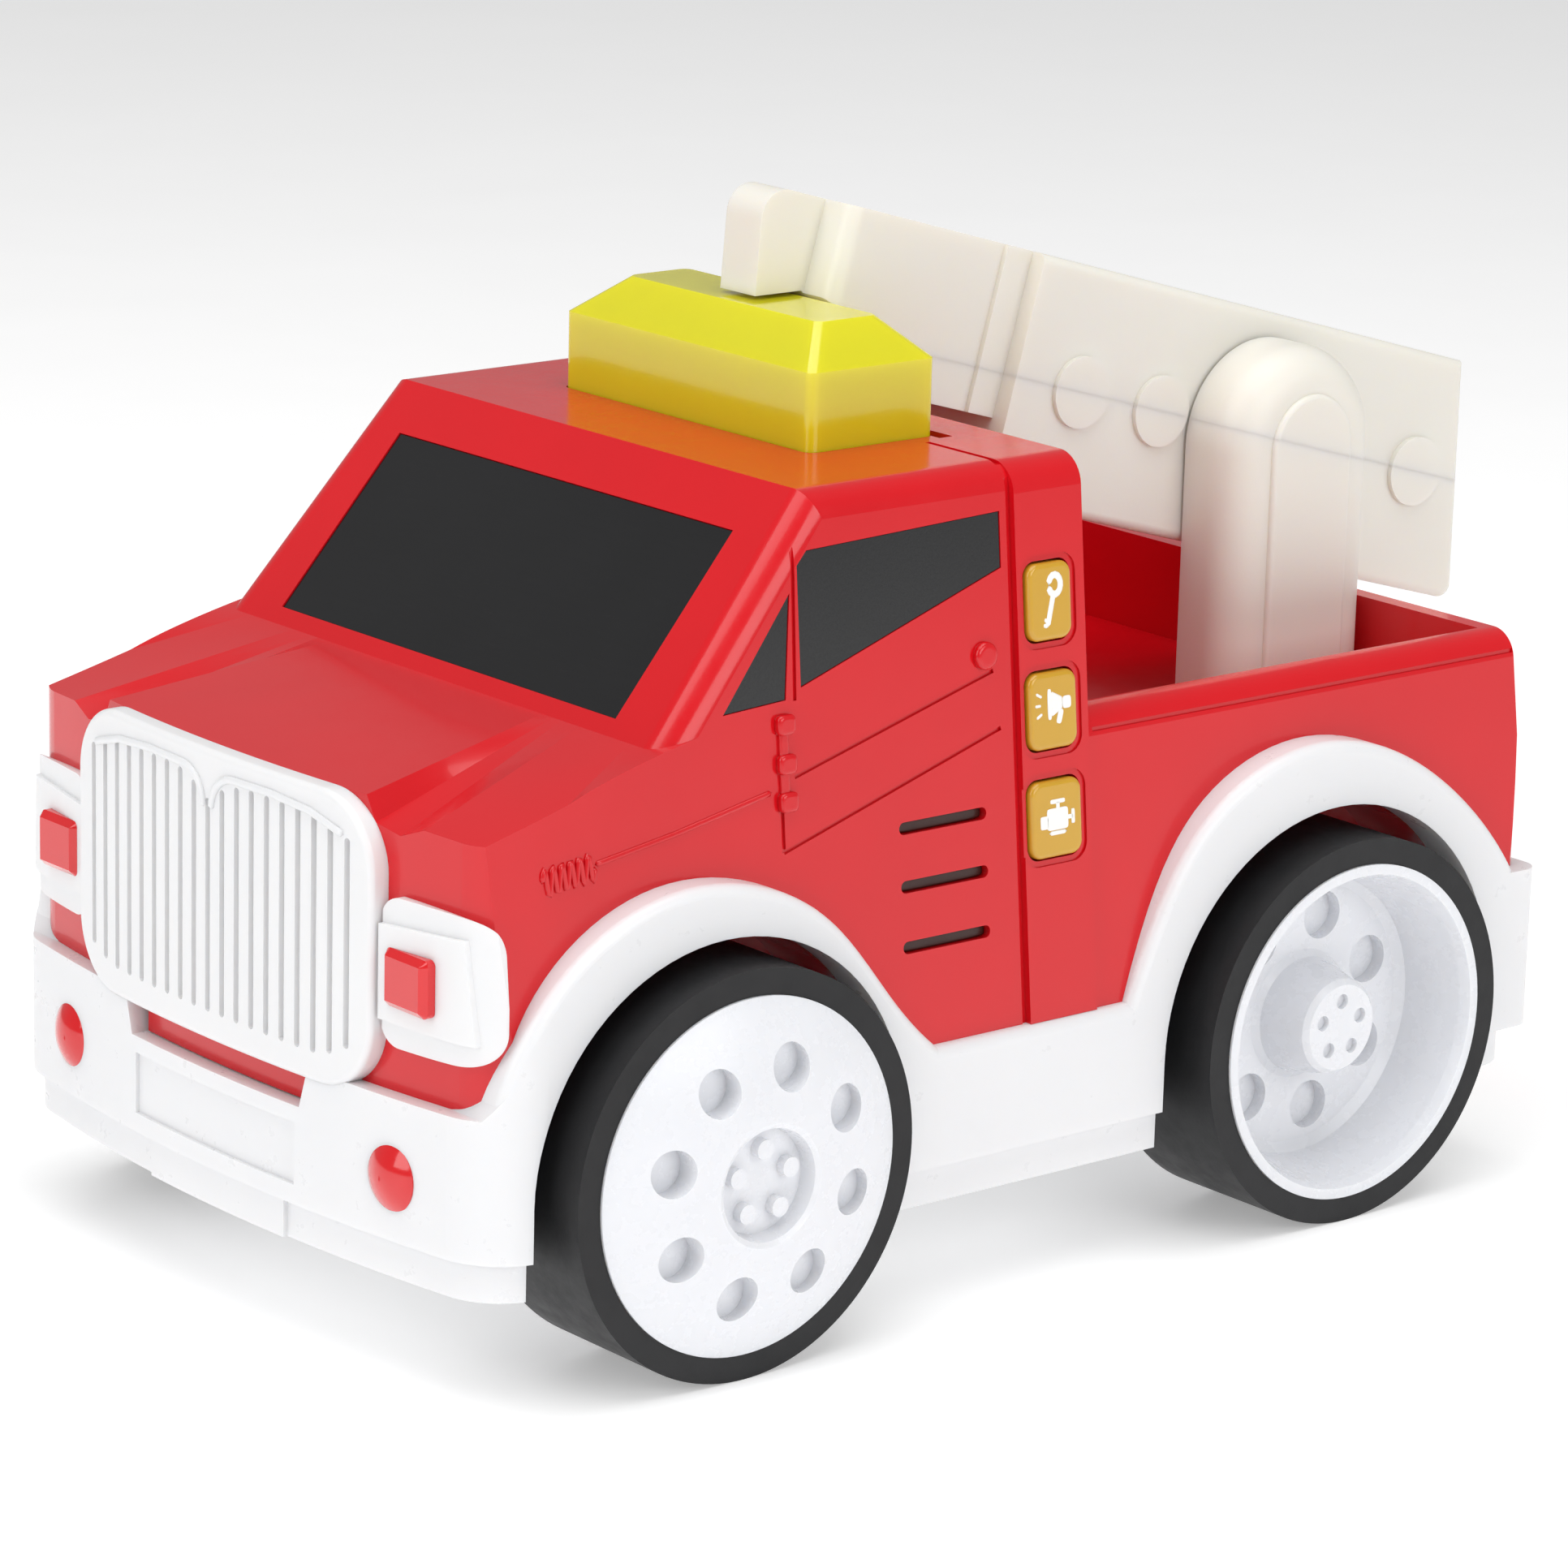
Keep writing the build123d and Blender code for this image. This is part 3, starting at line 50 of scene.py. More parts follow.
# %% Find the truck's own measures
MM = 0.001
SILL_HALF = 54.0         # half width of the red body where it meets the white chassis
SPLIT_Z = 37.5
LEAN = math.atan(0.1027)
BOW_R = 290.0            # radius of the bowed nose, seen from above
GRILLE_X = 98.4


def middle(node):
    """The middle of a node's box, in millimetres."""
    low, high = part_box(node)
    return np.array(low + high) / 2 / MM


AXLE_FRONT = middle("axle_front")
AXLE_REAR = middle("axle_rear")
BASE_X = (AXLE_FRONT[0] + AXLE_REAR[0]) / 2
print("middle of the wheelbase is", round(BASE_X, 2), "mm ahead of the origin")

# %% [markdown]
# The camera stands low at the truck's front left corner with a long lens, so that the near
# wheels don't swell. Its place is an angle round the truck, a height and a distance; the small
# roll is the tilt of a hand-levelled tripod. The three arrows right, up and back make the
# columns of its rotation.

# %% Camera
CAMERA_AROUND = math.radians(50.06)      # from straight ahead towards the truck's left
CAMERA_ABOVE = math.radians(14.97)
CAMERA_ROLL = math.radians(1.54)
CAMERA_FAR = 0.8647
CAMERA_LENS = 140.24


def unit(v):
    """The same direction with length one."""
    return v / np.linalg.norm(v)


aim = np.array([BASE_X * MM, 0.0, 0.05896])
away = np.array([
    math.cos(CAMERA_ABOVE) * math.cos(CAMERA_AROUND),
    math.cos(CAMERA_ABOVE) * math.sin(CAMERA_AROUND),
    math.sin(CAMERA_ABOVE),
])
level = unit(np.cross(-away, [0.0, 0.0, 1.0]))
rise = np.cross(level, -away)
cam_right = math.cos(CAMERA_ROLL) * level + math.sin(CAMERA_ROLL) * rise
cam_up = -math.sin(CAMERA_ROLL) * level + math.cos(CAMERA_ROLL) * rise
eye = aim + CAMERA_FAR * away

cam_data = bpy.data.cameras.new("truck_camera")
cam_data.lens = CAMERA_LENS
cam_data.sensor_width = 36.0
cam_data.dof.use_dof = False
camera = bpy.data.objects.new("truck_camera", cam_data)
bpy.context.scene.collection.objects.link(camera)
pose = np.eye(4)
pose[:3, :3] = np.column_stack([cam_right, cam_up, away])
pose[:3, 3] = eye
camera.matrix_world = Matrix(pose.tolist())
bpy.context.scene.camera = camera
print("camera at", [round(float(v), 4) for v in eye])

# %% [markdown]
# The truck stands on a white sweep under big soft lamps. The lamps are also what the
# glossy plastic mirrors, so their shapes matter as much as their brightness: a wide one
# overhead draws the bright roof and bonnet, a tall one ahead draws lines down the pillars, and
# a pale room fills the shadows.

# %% Floor, room and lamps
FLOOR_HALF = 6.0
ROOM_LIGHT = 0.32        # what the room lights and what the plastic mirrors
ROOM_SEEN = 1.0          # how bright the bare background looks


def link(obj):
    """Puts a new object into the scene and returns it."""
    bpy.context.scene.collection.objects.link(obj)
    return obj


def softbox(name, place, look_at, wide, tall, watts):
    """A rectangular area lamp at place, facing look_at."""
    lamp = bpy.data.lights.new(name, "AREA")
    lamp.shape = "RECTANGLE"
    lamp.size = wide
    lamp.size_y = tall
    lamp.energy = watts
    box = link(bpy.data.objects.new(name, lamp))
    back = unit(np.array(place, float) - np.array(look_at, float))
    across = unit(np.cross([0.0, 0.0, 1.0], back)) if abs(back[2]) < 0.99 else np.array([0.0, 1.0, 0.0])
    turn = np.eye(4)
    turn[:3, :3] = np.column_stack([across, np.cross(back, across), back])
    turn[:3, 3] = place
    box.matrix_world = Matrix(turn.tolist())
    return box


floor_mesh = bpy.data.meshes.new("floor")
floor_mesh.from_pydata(
    [(-FLOOR_HALF, -FLOOR_HALF, 0), (FLOOR_HALF, -FLOOR_HALF, 0),
     (FLOOR_HALF, FLOOR_HALF, 0), (-FLOOR_HALF, FLOOR_HALF, 0)], [], [(0, 1, 2, 3)],
)
floor = link(bpy.data.objects.new("floor", floor_mesh))

TRUCK_MID = (0.0, 0.0, 0.06)
softbox("lamp_over", (0.15, 0.1, 1.15), TRUCK_MID, 1.3, 1.1, 10.0)
softbox("lamp_ahead", (1.2, 0.05, 0.65), TRUCK_MID, 0.7, 0.9, 5.0)
softbox("lamp_left", (-0.1, 1.2, 0.55), TRUCK_MID, 1.0, 0.6, 5.0)

room = bpy.data.worlds.new("pale_room")
room.use_nodes = True
room_nodes, room_links = room.node_tree.nodes, room.node_tree.links
room_nodes["Background"].inputs["Color"].default_value = (1.0, 1.0, 1.0, 1.0)
seen = room_nodes.new("ShaderNodeLightPath")
strength = room_nodes.new("ShaderNodeMapRange")
strength.inputs["To Min"].default_value = ROOM_LIGHT
strength.inputs["To Max"].default_value = ROOM_SEEN
room_links.new(seen.outputs["Is Camera Ray"], strength.inputs["Value"])
room_links.new(strength.outputs["Result"], room_nodes["Background"].inputs["Strength"])
bpy.context.scene.world = room
bpy.context.scene.view_settings.view_transform = "Standard"
print("floor, 3 lamps and a pale room")

# %% [markdown]
# Every finish is one Principled shader fed by a few noise patterns in object space, so that it
# stays put when a wheel turns or the boom tilts. A small recipe covers them all: two close
# shades mixed by a slow noise, a roughness that wanders with a finer one, and a bump from the
# mould's texture. Numbers that are even over the whole surface go straight onto the shader.

# %% The recipe for a moulded finish


def new_tree(name):
    """An empty node material with its shader and output, as (material, nodes, links, shader)."""
    mat = bpy.data.materials.new(name)
    mat.use_nodes = True
    tree = mat.node_tree
    tree.nodes.clear()
    out = tree.nodes.new("ShaderNodeOutputMaterial")
    shader = tree.nodes.new("ShaderNodeBsdfPrincipled")
    tree.links.new(shader.outputs["BSDF"], out.inputs["Surface"])
    return mat, tree.nodes, tree.links, shader


def place(made, links, stretch=(1.0, 1.0, 1.0), turn=(0.0, 0.0, 0.0)):
    """Object coordinates, stretched and turned for one pattern."""
    where = made.new("ShaderNodeTexCoord")
    mapped = made.new("ShaderNodeMapping")
    mapped.inputs["Scale"].default_value = stretch
    mapped.inputs["Rotation"].default_value = turn
    links.new(where.outputs["Object"], mapped.inputs["Vector"])
    return mapped.outputs["Vector"]


def noise(made, links, scale, detail=3.0, where=None, rough=0.5):
    """A noise pattern's factor at this scale (waves per metre)."""
    pattern = made.new("ShaderNodeTexNoise")
    pattern.inputs["Scale"].default_value = scale
    pattern.inputs["Detail"].default_value = detail
    pattern.inputs["Roughness"].default_value = rough
    links.new(where if where else place(made, links), pattern.inputs["Vector"])
    return pattern.outputs["Fac"]


def span(made, links, value, low, high, start=0.3, end=0.7):
    """value carried from start..end to low..high."""
    mapped = made.new("ShaderNodeMapRange")
    for socket, number in zip(("From Min", "From Max", "To Min", "To Max"), (start, end, low, high)):
        mapped.inputs[socket].default_value = number
    links.new(value, mapped.inputs["Value"])
    return mapped.outputs["Result"]


def blend_shades(made, links, factor, first, second):
    """A colour between first and second by factor."""
    mixer = made.new("ShaderNodeMix")
    mixer.data_type = "RGBA"
    mixer.inputs["A"].default_value = (*first, 1.0)
    mixer.inputs["B"].default_value = (*second, 1.0)
    links.new(factor, mixer.inputs["Factor"])
    return mixer.outputs["Result"]


def bump(made, links, shader, height, depth, strength=0.5):
    """Feeds the shader's normal with a bump of this depth in metres."""
    relief = made.new("ShaderNodeBump")
    relief.inputs["Strength"].default_value = strength
    relief.inputs["Distance"].default_value = depth
    links.new(height, relief.inputs["Height"])
    links.new(relief.outputs["Normal"], shader.inputs["Normal"])


def moulded(name, first, second, rough, depth, grain=2600.0, even=None, patch=45.0, stretch=(1, 1, 1)):
    """A moulded plastic: first and second are its two shades, rough its low and high roughness."""
    mat, made, links, shader = new_tree(name)
    where = place(made, links, stretch)
    slow = noise(made, links, patch, 2.0, where)
    fine = noise(made, links, grain, 4.0, where, 0.6)
    smear = noise(made, links, patch * 6, 5.0, where, 0.65)
    links.new(blend_shades(made, links, slow, first, second), shader.inputs["Base Color"])
    links.new(span(made, links, smear, *rough), shader.inputs["Roughness"])
    bump(made, links, shader, fine, depth)
    for socket, number in (even or {}).items():
        shader.inputs[socket].default_value = number
    return mat


sweep = moulded(
    "white_sweep", (0.93, 0.93, 0.93), (0.91, 0.91, 0.91), (0.5, 0.6), 0.00001, 300.0,
    even={"Emission Color": (1.0, 1.0, 1.0, 1.0), "Emission Strength": 0.3}, patch=3.0,
)
floor.data.materials.append(sweep)
print("recipe ready, and the floor's own white")

# %% [markdown]
# The red body is glossy ABS, dyed right through. Its skin mirrors the lamps, so it gets a clear
# coat over a slightly softer base. The white mouldings are the same plastic, a little less
# polished, and let some light sink in, which keeps their shadows pale.

# %% Body plastics
SINK = {"Subsurface Weight": 0.25, "Subsurface Radius": (0.004, 0.0035, 0.003), "Subsurface Scale": 0.6}
red_plastic = moulded(
    "red_plastic", (0.66, 0.004, 0.010), (0.58, 0.003, 0.008), (0.16, 0.24), 0.000012,
    even={"Coat Weight": 0.3, "Coat Roughness": 0.06, "IOR": 1.5, "Specular IOR Level": 0.4},
)
white_plastic = moulded(
    "white_plastic", (0.80, 0.80, 0.81), (0.76, 0.765, 0.78), (0.26, 0.36), 0.000018, 2200.0,
    even={**SINK, "IOR": 1.5},
)
wheel_plastic = moulded(
    "wheel_plastic", (0.79, 0.80, 0.83), (0.75, 0.76, 0.79), (0.22, 0.32), 0.000016, 2400.0,
    even={**SINK, "IOR": 1.5},
)
trim_plastic = moulded(
    "trim_plastic", (0.81, 0.81, 0.815), (0.77, 0.77, 0.78), (0.28, 0.38), 0.000016, 2400.0,
    even={**SINK, "IOR": 1.5},
)
ivory_plastic = moulded(
    "ivory_plastic", (0.80, 0.775, 0.71), (0.76, 0.735, 0.665), (0.34, 0.46), 0.000022, 1900.0,
    even={"Subsurface Weight": 0.35, "Subsurface Radius": (0.005, 0.004, 0.0025), "Subsurface Scale": 0.8},
)
lens_plastic = moulded(
    "lens_plastic", (0.70, 0.006, 0.010), (0.60, 0.005, 0.008), (0.10, 0.18), 0.00001,
    even={"Coat Weight": 0.6, "Coat Roughness": 0.05},
)
tyre_plastic = moulded(
    "tyre_plastic", (0.006, 0.006, 0.007), (0.010, 0.010, 0.011), (0.38, 0.52), 0.00003, 1500.0,
    even={"Specular IOR Level": 0.35},
)
print("seven body plastics")

# %% [markdown]
# The roof light and the buttons are clear yellow plastic. Some of the light goes through them
# and some is scattered by the dye, so they glow rather than show a flat face.

# %% Clear yellow plastics
light_plastic = moulded(
    "light_plastic", (0.86, 0.78, 0.010), (0.82, 0.72, 0.008), (0.08, 0.18), 0.00001,
    even={
        "Transmission Weight": 0.12, "IOR": 1.49, "Coat Weight": 0.4, "Coat Roughness": 0.05,
        "Subsurface Weight": 0.5, "Subsurface Radius": (0.008, 0.007, 0.001), "Subsurface Scale": 1.0,
    },
)
button_plastic = moulded(
    "button_plastic", (0.80, 0.47, 0.035), (0.72, 0.38, 0.02), (0.12, 0.22), 0.000012,
    even={"Transmission Weight": 0.25, "IOR": 1.49, "Coat Weight": 0.4, "Coat Roughness": 0.06},
)
print("roof light and button plastics")

# %% [markdown]
# The windows are glossy black panes that a cloth has wiped: long faint scratches catch the
# lamps. A noise stretched twenty times along one direction gives such strokes, and it drives
# both the roughness and a very shallow bump.

# %% Black windows
window_plastic, made, links, shader = new_tree("window_plastic")
strokes = noise(made, links, 160.0, 6.0, place(made, links, (18.0, 1.0, 12.0), (0.2, 0.1, 0.5)), 0.7)
haze = noise(made, links, 40.0, 2.0)
pane_shades = blend_shades(made, links, haze, (0.003, 0.003, 0.0035), (0.007, 0.007, 0.008))
links.new(pane_shades, shader.inputs["Base Color"])
links.new(span(made, links, strokes, 0.10, 0.30, 0.35, 0.75), shader.inputs["Roughness"])
bump(made, links, shader, strokes, 0.00002, 0.6)
shader.inputs["Coat Weight"].default_value = 0.25
shader.inputs["Coat Roughness"].default_value = 0.08
print("window panes")

# %% [markdown]
# Inside are a few finishes that show only when the truck is opened: green boards, steel,
# battery sleeves. They get the same care in little: drawn metal has lines along its length.

# %% Works inside
METAL = {"Metallic": 1.0}
steel = moulded(
    "drawn_steel", (0.62, 0.62, 0.63), (0.50, 0.50, 0.51), (0.22, 0.42), 0.00001, 900.0,
    even=METAL, stretch=(6.0, 0.6, 6.0),
)
zinc = moulded(
    "zinc_screws", (0.55, 0.55, 0.53), (0.42, 0.43, 0.44), (0.28, 0.5), 0.00001, 3000.0, even=METAL,
)
board_green = moulded("board_green", (0.02, 0.20, 0.07), (0.03, 0.30, 0.10), (0.3, 0.45), 0.00003, 500.0)
lamp_epoxy = moulded(
    "lamp_epoxy", (0.85, 0.85, 0.80), (0.80, 0.80, 0.74), (0.08, 0.15), 0.00001,
    even={"Transmission Weight": 0.6, "IOR": 1.53},
)
switch_black = moulded("switch_black", (0.02, 0.02, 0.02), (0.035, 0.035, 0.035), (0.45, 0.6), 0.00002)
sleeve = moulded("battery_sleeve", (0.02, 0.03, 0.06), (0.03, 0.04, 0.08), (0.2, 0.32), 0.00001)
# Painted shade: a dark brown for the sheets behind the vent slots, standing for the shadow inside them.
painted_shade_brown = moulded("painted_shade_brown", (0.030, 0.010, 0.008), (0.050, 0.016, 0.011), (0.3, 0.45), 0.00002)
print_white = moulded("print_white", (0.92, 0.91, 0.88), (0.86, 0.85, 0.81), (0.35, 0.5), 0.00001)
print("finishes inside the truck")

# %% [markdown]
# Each row below names a finish and the first letters of the nodes that wear it. What is left
# over is printed, so that no node stays bare.

# %% Dress the CAD nodes
FINISHES = [
    (red_plastic, "red_body", ("upper_body",)),
    (white_plastic, "white_chassis", ("lower_body", "battery_door")),
    (trim_plastic, "white_trim", ("grille", "headlight_bezel_")),
    (wheel_plastic, "white_wheel", ("hub_",)),
    (lens_plastic, "red_lens", ("headlight_lens_", "fog_lamp_")),
    (window_plastic, "black_window", ("windscreen", "side_window_", "vent_window_")),
    (light_plastic, "yellow_translucent", ("light_bar",)),
    (button_plastic, "yellow_button", ("button_",)),
    (tyre_plastic, "black_tyre", ("tyre_",)),
    (ivory_plastic, "ivory_boom", ("boom_upper", "boom_lower", "boom_post", "post_cap")),
    (steel, "steel_axle", ("axle_", "pivot_pin", "battery_contacts", "speaker")),
    (zinc, "screw_steel", ("body_screws", "boom_screws", "post_screws", "door_screw")),
    (board_green, "circuit_green", ("led_board", "switch_board", "circuit_board")),
    (lamp_epoxy, "led_epoxy", ("leds",)),
    (switch_black, "switch_black", ("tact_switches",)),
    (sleeve, "battery_can", ("batteries",)),
]


def wear(obj, mat):
    """Gives obj this one material."""
    obj.data.materials.clear()
    obj.data.materials.append(mat)


dressed = set()
for finish_mat, _, starts in FINISHES:
    for node_name, node in nodes.items():
        if node_name.startswith(starts):
            wear(node, finish_mat)
            dressed.add(node_name)
print("dressed", len(dressed), "nodes; left over:", sorted(set(nodes) - dressed))

# %% [markdown]
# New pieces are grids: a sheet of points worked out at once from two parameters, then joined
# into faces. Where a row of the grid shrinks to a single point, such as the tip of a bar, its
# points are merged so that the skin is closed.

# %% From a grid of points to a piece


def grid_piece(name, points, mat, body, wrap=True):
    """A closed skin from points[u, v]: neighbours make the faces, v wraps round if wrap is set,
    and points that fall together are merged."""
    rows, cols = points.shape[:2]
    index = np.arange(rows * cols).reshape(rows, cols)
    ahead = np.roll(index, -1, axis=1) if wrap else index[:, 1:]
    here = index if wrap else index[:, :-1]
    quads = np.stack([here[:-1], ahead[:-1], ahead[1:], here[1:]], axis=-1).reshape(-1, 4)
    mesh = bpy.data.meshes.new(name)
    mesh.from_pydata((points.reshape(-1, 3) * MM).tolist(), [], quads.tolist())
    work = bmesh.new()
    work.from_mesh(mesh)
    bmesh.ops.remove_doubles(work, verts=work.verts, dist=2e-6)
    bmesh.ops.recalc_face_normals(work, faces=work.faces)
    work.to_mesh(mesh)
    work.free()
    mesh.polygons.foreach_set("use_smooth", np.ones(len(mesh.polygons), bool))
    piece = link(bpy.data.objects.new(name, mesh))
    wear(piece, mat)
    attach(piece, body)
    return piece


def join(name, parts):
    """Several pieces with one finish and one body made a single piece with this name."""
    bpy.ops.object.select_all(action="DESELECT")
    for part in parts:
        part.select_set(True)
    bpy.context.view_layer.objects.active = parts[0]
    bpy.ops.object.join()
    parts[0].name = name
    parts[0].data.name = name
    return parts[0]


print("grid helper ready")

# %% [markdown]
# The sides lean in a little. A mark on them is given by how far forward it is, how high, and
# how far it stands out from the skin, and this turns those three into a place. hand is 1 for
# the truck's left side and -1 for its right.

# %% Places on the leaning sides and on the bowed nose


def on_side(x, z, out, hand=1):
    """Leaning side: y falls by tan(lean) for each unit of height, then out along the skin's normal."""
    y = SILL_HALF - math.tan(LEAN) * (z - SPLIT_Z) + out * math.cos(LEAN)
    return np.stack([BASE_X + x + 0 * z, hand * y + 0 * x, z + out * math.sin(LEAN) + 0 * x], axis=-1)


def on_nose(y, z, out):
    """Bowed nose: x falls back as a circle of radius BOW_R, seen from above, then out towards +X."""
    x = BASE_X + GRILLE_X - BOW_R + np.sqrt(BOW_R ** 2 - y ** 2) + out
    return np.stack([x + 0 * z, y + 0 * z, z + 0 * y], axis=-1)


def ridge(path, half, height, surface, sunk=0.3):
    """A low rounded bar along a path of (a, b) points on a surface: across it the height goes as
    a half ellipse, and both ends taper to a point."""
    path = np.array(path, float)
    step = np.linalg.norm(np.diff(path, axis=0), axis=1)
    run = np.concatenate([[0], np.cumsum(step)])
    s = np.linspace(0, run[-1], max(8, int(run[-1] / 0.45)))
    a, b = np.interp(s, run, path[:, 0]), np.interp(s, run, path[:, 1])
    tangent = np.stack([np.gradient(a), np.gradient(b)], axis=-1)
    tangent /= np.linalg.norm(tangent, axis=1, keepdims=True)
    end = np.minimum(s, run[-1] - s)
    taper = np.sqrt(np.clip(1 - (1 - np.clip(end / half, 0, 1)) ** 2, 0, 1))
    angle = np.linspace(0, 2 * np.pi, 13)[:-1]
    across = np.cos(angle)[None, :] * half * taper[:, None]
    lift = np.sin(angle)
    out = np.where(lift > 0, lift * height, lift * sunk)[None, :] * taper[:, None]
    u = a[:, None] - tangent[:, 1:2] * across
    v = b[:, None] + tangent[:, 0:1] * across
    return surface(u, v, out)


def pad(centre, half_u, half_v, height, surface, round_off=0.5, power=4.0, sunk=0.3, turn=0.0):
    """A low raised block: rings grow from its middle to a rounded-square outline, where
    |cos|, |sin| raised to 2/power set how square it is, then drop over a rounded edge into the skin."""
    around = np.linspace(0, 2 * np.pi, 49)[:-1]
    c, s = np.cos(around), np.sin(around)
    outline_u = np.sign(c) * np.abs(c) ** (2 / power)
    outline_v = np.sign(s) * np.abs(s) ** (2 / power)
    arc = np.linspace(0, np.pi / 2, 5)
    inset = np.concatenate([[1.0, 0.5], round_off_steps(arc, round_off, min(half_u, half_v)), [0.0, 1.0]])
    level = np.concatenate([[height, height], height - round_off * (1 - np.cos(arc)), [-sunk, -sunk]])
    du = outline_u[None, :] * half_u * (1 - inset[:, None])
    dv = outline_v[None, :] * half_v * (1 - inset[:, None])
    u = centre[0] + du * math.cos(turn) - dv * math.sin(turn)
    v = centre[1] + du * math.sin(turn) + dv * math.cos(turn)
    return surface(u, v, np.broadcast_to(level[:, None], u.shape) + 0 * u)


def round_off_steps(arc, round_off, half):
    """How far in from the outline each step of the rounded edge lies, as a share of half."""
    return (round_off * (1 - np.sin(arc))) / half


print("surface helpers ready")

# %% [markdown]
# The door has three hinge blocks and a round knob, and a coil spring is drawn in relief ahead
# of it, with one straight line running back from its rear end. All of them are part of the red
# moulding, so they are low, soft-edged bars and blocks that sink a little into the skin.

# %% Raised marks on both sides
SPRING_TURNS = 6
SPRING_START = (82.0, 69.4)      # its front end: how far forward, how high
SPRING_RUN = (8.5, 1.0)          # how far it goes back, and up
SPRING_WAVE = 1.75
HINGE_X = 41.6
HINGE_HEIGHTS = (84.2, 79.0, 74.0)
KNOB_PLACE = (6.6, 88.6)
KNOB_R = 1.9


def side_marks(hand):
    """The raised marks of one side, as a list of pieces."""
    def skin(u, v, out):
        return on_side(u, v, out, hand)

    label = "L" if hand > 0 else "R"
    marks = []
    t = np.linspace(0, 1, 181)
    wave = SPRING_WAVE * np.sin(2 * np.pi * SPRING_TURNS * t)
    back = SPRING_START[0] - SPRING_RUN[0] * t
    up = SPRING_START[1] + SPRING_RUN[1] * t + wave
    spring = np.stack([back, up], axis=-1)
    marks.append(ridge(spring, 0.42, 0.45, skin))
    marks.append(ridge([(73.5, 70.6), (60.0, 72.6), (44.0, 75.6)], 0.4, 0.35, skin))
    for block_z in HINGE_HEIGHTS:
        marks.append(pad((HINGE_X, block_z), 1.5, 1.35, 1.1, skin, 0.5))
    marks.append(pad((41.9, 79.0), 0.75, 6.0, 0.55, skin, 0.3))
    marks.append(pad(KNOB_PLACE, KNOB_R, KNOB_R, 1.0, skin, 0.6, 2.0))
    pieces = [
        grid_piece(f"mark_{label}_{k}", m, red_plastic, "truck_body")
        for k, m in enumerate(marks)
    ]
    return join(f"side_marks_{label}", pieces)


for hand in (1, -1):
    piece = side_marks(hand)
    print(piece.name, len(piece.data.polygons), "faces")

# %% [markdown]
# Behind each of the three slots a dark brown sheet is set just under the skin as painted shade: it stands
# for the shadow inside the slot, and the speaker isn't seen. A flat block with round ends does it.

# %% Painted shade behind the vents
VENT_X = 14.8
VENT_HEIGHTS = (67.4, 59.5, 51.3)
vent_shade_sheets = [
    pad((VENT_X, shade_sheet_z), 7.6, 0.78, -1.0, on_side, 0.2, 6.0, 1.5) for shade_sheet_z in VENT_HEIGHTS
]
# Each sheet of painted shade is its own piece first, then all three are joined.
vent_shade_pieces = [
    grid_piece(f"slat_{k}", s, painted_shade_brown, "truck_body") for k, s in enumerate(vent_shade_sheets)
]
vent_painted_shade = join("vent_painted_shade", vent_shade_pieces)
print(vent_painted_shade.name, len(vent_painted_shade.data.polygons), "faces")

# %% [markdown]
# The grille is one white plate. A low raised line starts in the middle near the top, turns over
# with a round shoulder and follows the top edge, once for each half.

# %% Raised shoulder lines on the grille
SHOULDER_MID = (5.9, 70.5)       # middle of the quarter turn: how far out, how high
SHOULDER_R = 5.0


def shoulder(hand):
    """One half's line: a quarter turn up from the middle, then out along the top."""
    bend = np.linspace(np.pi, np.pi / 2, 12)
    turn_y = SHOULDER_MID[0] + SHOULDER_R * np.cos(bend)
    turn_z = SHOULDER_MID[1] + SHOULDER_R * np.sin(bend)
    along = np.array([[14.0, 75.6], [22.0, 75.0], [28.6, 73.2]])
    path = np.concatenate([np.stack([turn_y, turn_z], axis=-1), along])
    path[:, 0] *= hand
    return ridge(path, 0.55, 0.5, on_nose)


shoulders = [
    grid_piece(f"shoulder_{k}", shoulder(h), trim_plastic, "truck_body")
    for k, h in enumerate((1, -1))
]
grille_shoulders = join("grille_shoulders", shoulders)
print(grille_shoulders.name, len(grille_shoulders.data.polygons), "faces")

# %% [markdown]
# Each button carries a white printed picture: a key, a horn and an engine. They are plain
# shapes laid a hair above the button's face, made of the same low bars and pads, and they ride
# on their own button so that they move in with it.

# %% Pictures on the buttons
PRINT = 0.12             # how far a print stands off its button
BUTTON_X = -4.6
BUTTON_HEIGHTS = {"button_key": 94.6, "button_horn": 79.8, "button_engine": 65.0}
SKIN_NORMAL = np.array([0.0, math.cos(LEAN), math.sin(LEAN)])


def face_of(node):
    """How far a button's face stands out from the body's skin, in millimetres."""
    mesh = nodes[node].data
    co = np.empty(len(mesh.vertices) * 3)
    mesh.vertices.foreach_get("co", co)
    skin_point = np.array([0.0, SILL_HALF, SPLIT_Z])
    return float(((co.reshape(-1, 3) / MM - skin_point) @ SKIN_NORMAL).max())


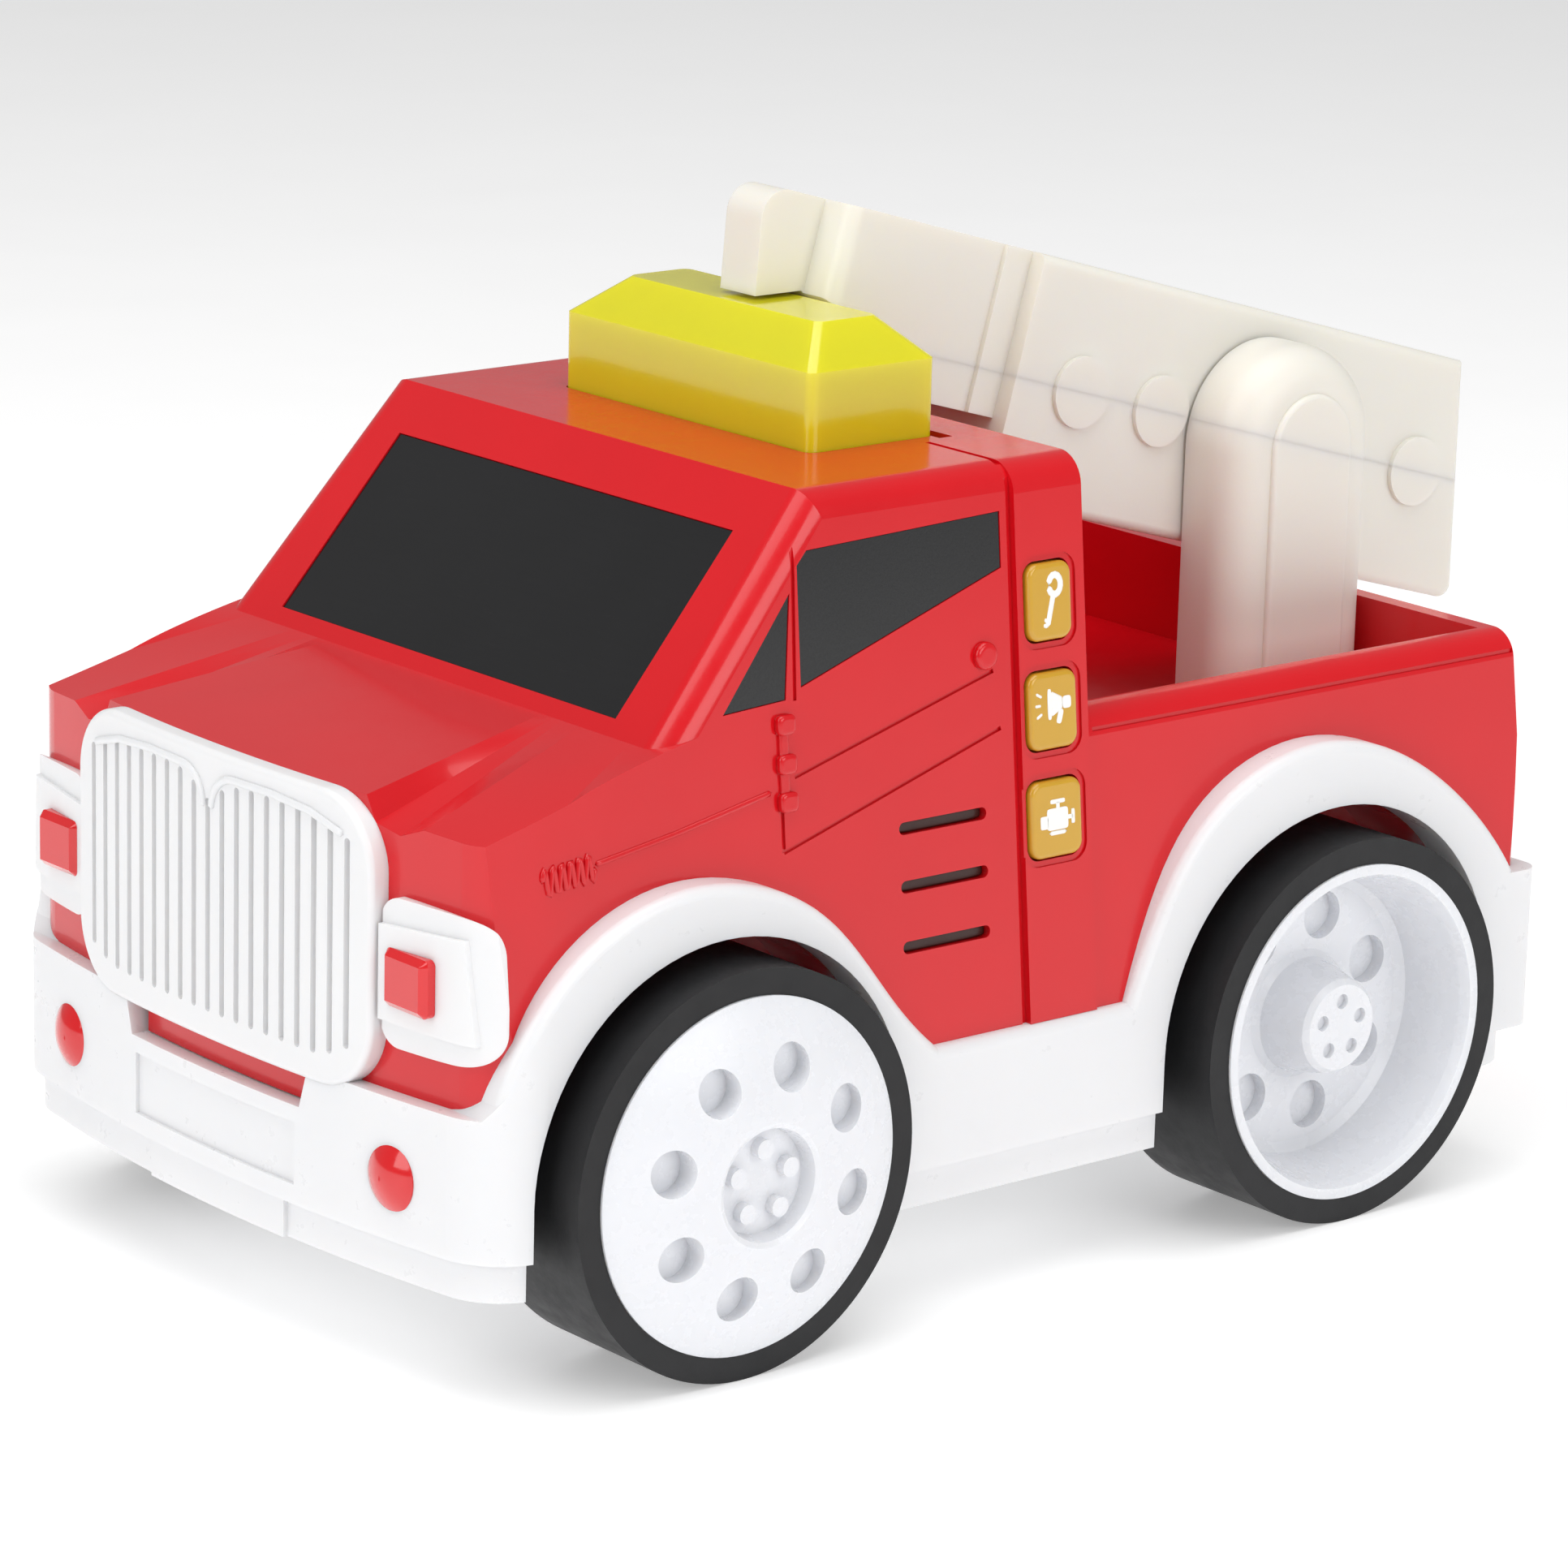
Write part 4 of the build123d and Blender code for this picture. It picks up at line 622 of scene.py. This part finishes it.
def picture(node, bars, pads):
    """White bars (path, half width) and pads (centre, half sizes, turn) on one button."""
    rise = face_of(node)

    def face(u, v, out):
        return on_side(BUTTON_X + u, BUTTON_HEIGHTS[node] + v, out + rise)

    parts = [ridge(path, half, PRINT, face, 0.05) for path, half in bars]
    parts += [
        pad(centre, hu, hv, PRINT, face, 0.05, power, 0.05, turn) for centre, hu, hv, turn, power in pads
    ]
    made_parts = [
        grid_piece(f"{node}_print_{k}", p, print_white, node) for k, p in enumerate(parts)
    ]
    return join(f"{node}_picture", made_parts)


ring = np.linspace(0, 2 * np.pi, 25)
key_ring = np.stack([-0.7 + 1.05 * np.cos(ring), 2.2 + 1.35 * np.sin(ring)], axis=-1)
key_bars = [(key_ring, 0.5), ([(-0.5, 1.2), (0.8, -3.5)], 0.45), ([(0.55, -2.6), (1.35, -2.4)], 0.3),
            ([(0.7, -3.3), (1.5, -3.1)], 0.3)]
key_picture = picture("button_key", key_bars, [])
horn_bars = [
    ([(2.2, 2.0), (3.3, 2.6)], 0.2), ([(2.4, 0.9), (3.5, 0.9)], 0.2), ([(2.2, -0.2), (3.3, -0.8)], 0.2),
]
horn_pads = [
    ((-2.2, 0.9), 0.75, 0.85, 0.0, 4.0), ((0.9, 0.9), 0.35, 2.1, 0.0, 4.0),
    ((-0.9, -0.9), 0.45, 1.0, 0.3, 4.0),
]
horn_cone = [
    ([(-1.6, 0.9), (0.9, 0.9)], 0.8), ([(-1.5, 1.1), (0.9, 2.3)], 0.5), ([(-1.5, 0.7), (0.9, -0.5)], 0.5),
]
horn_picture = picture("button_horn", horn_bars + horn_cone, horn_pads)
engine_pads = [
    ((0.1, 0.0), 1.9, 1.5, 0.0, 8.0), ((0.0, 2.4), 1.3, 0.3, 0.0, 6.0), ((0.0, 1.9), 0.3, 0.5, 0.0, 6.0),
    ((-2.7, 0.0), 0.3, 1.0, 0.0, 6.0), ((-2.2, 0.0), 0.5, 0.3, 0.0, 6.0), ((2.5, -0.3), 0.7, 0.9, 0.0, 6.0),
]
engine_picture = picture("button_engine", [([(-1.6, -1.9), (1.7, -1.9)], 0.3)], engine_pads)
print(key_picture.name, horn_picture.name, engine_picture.name)
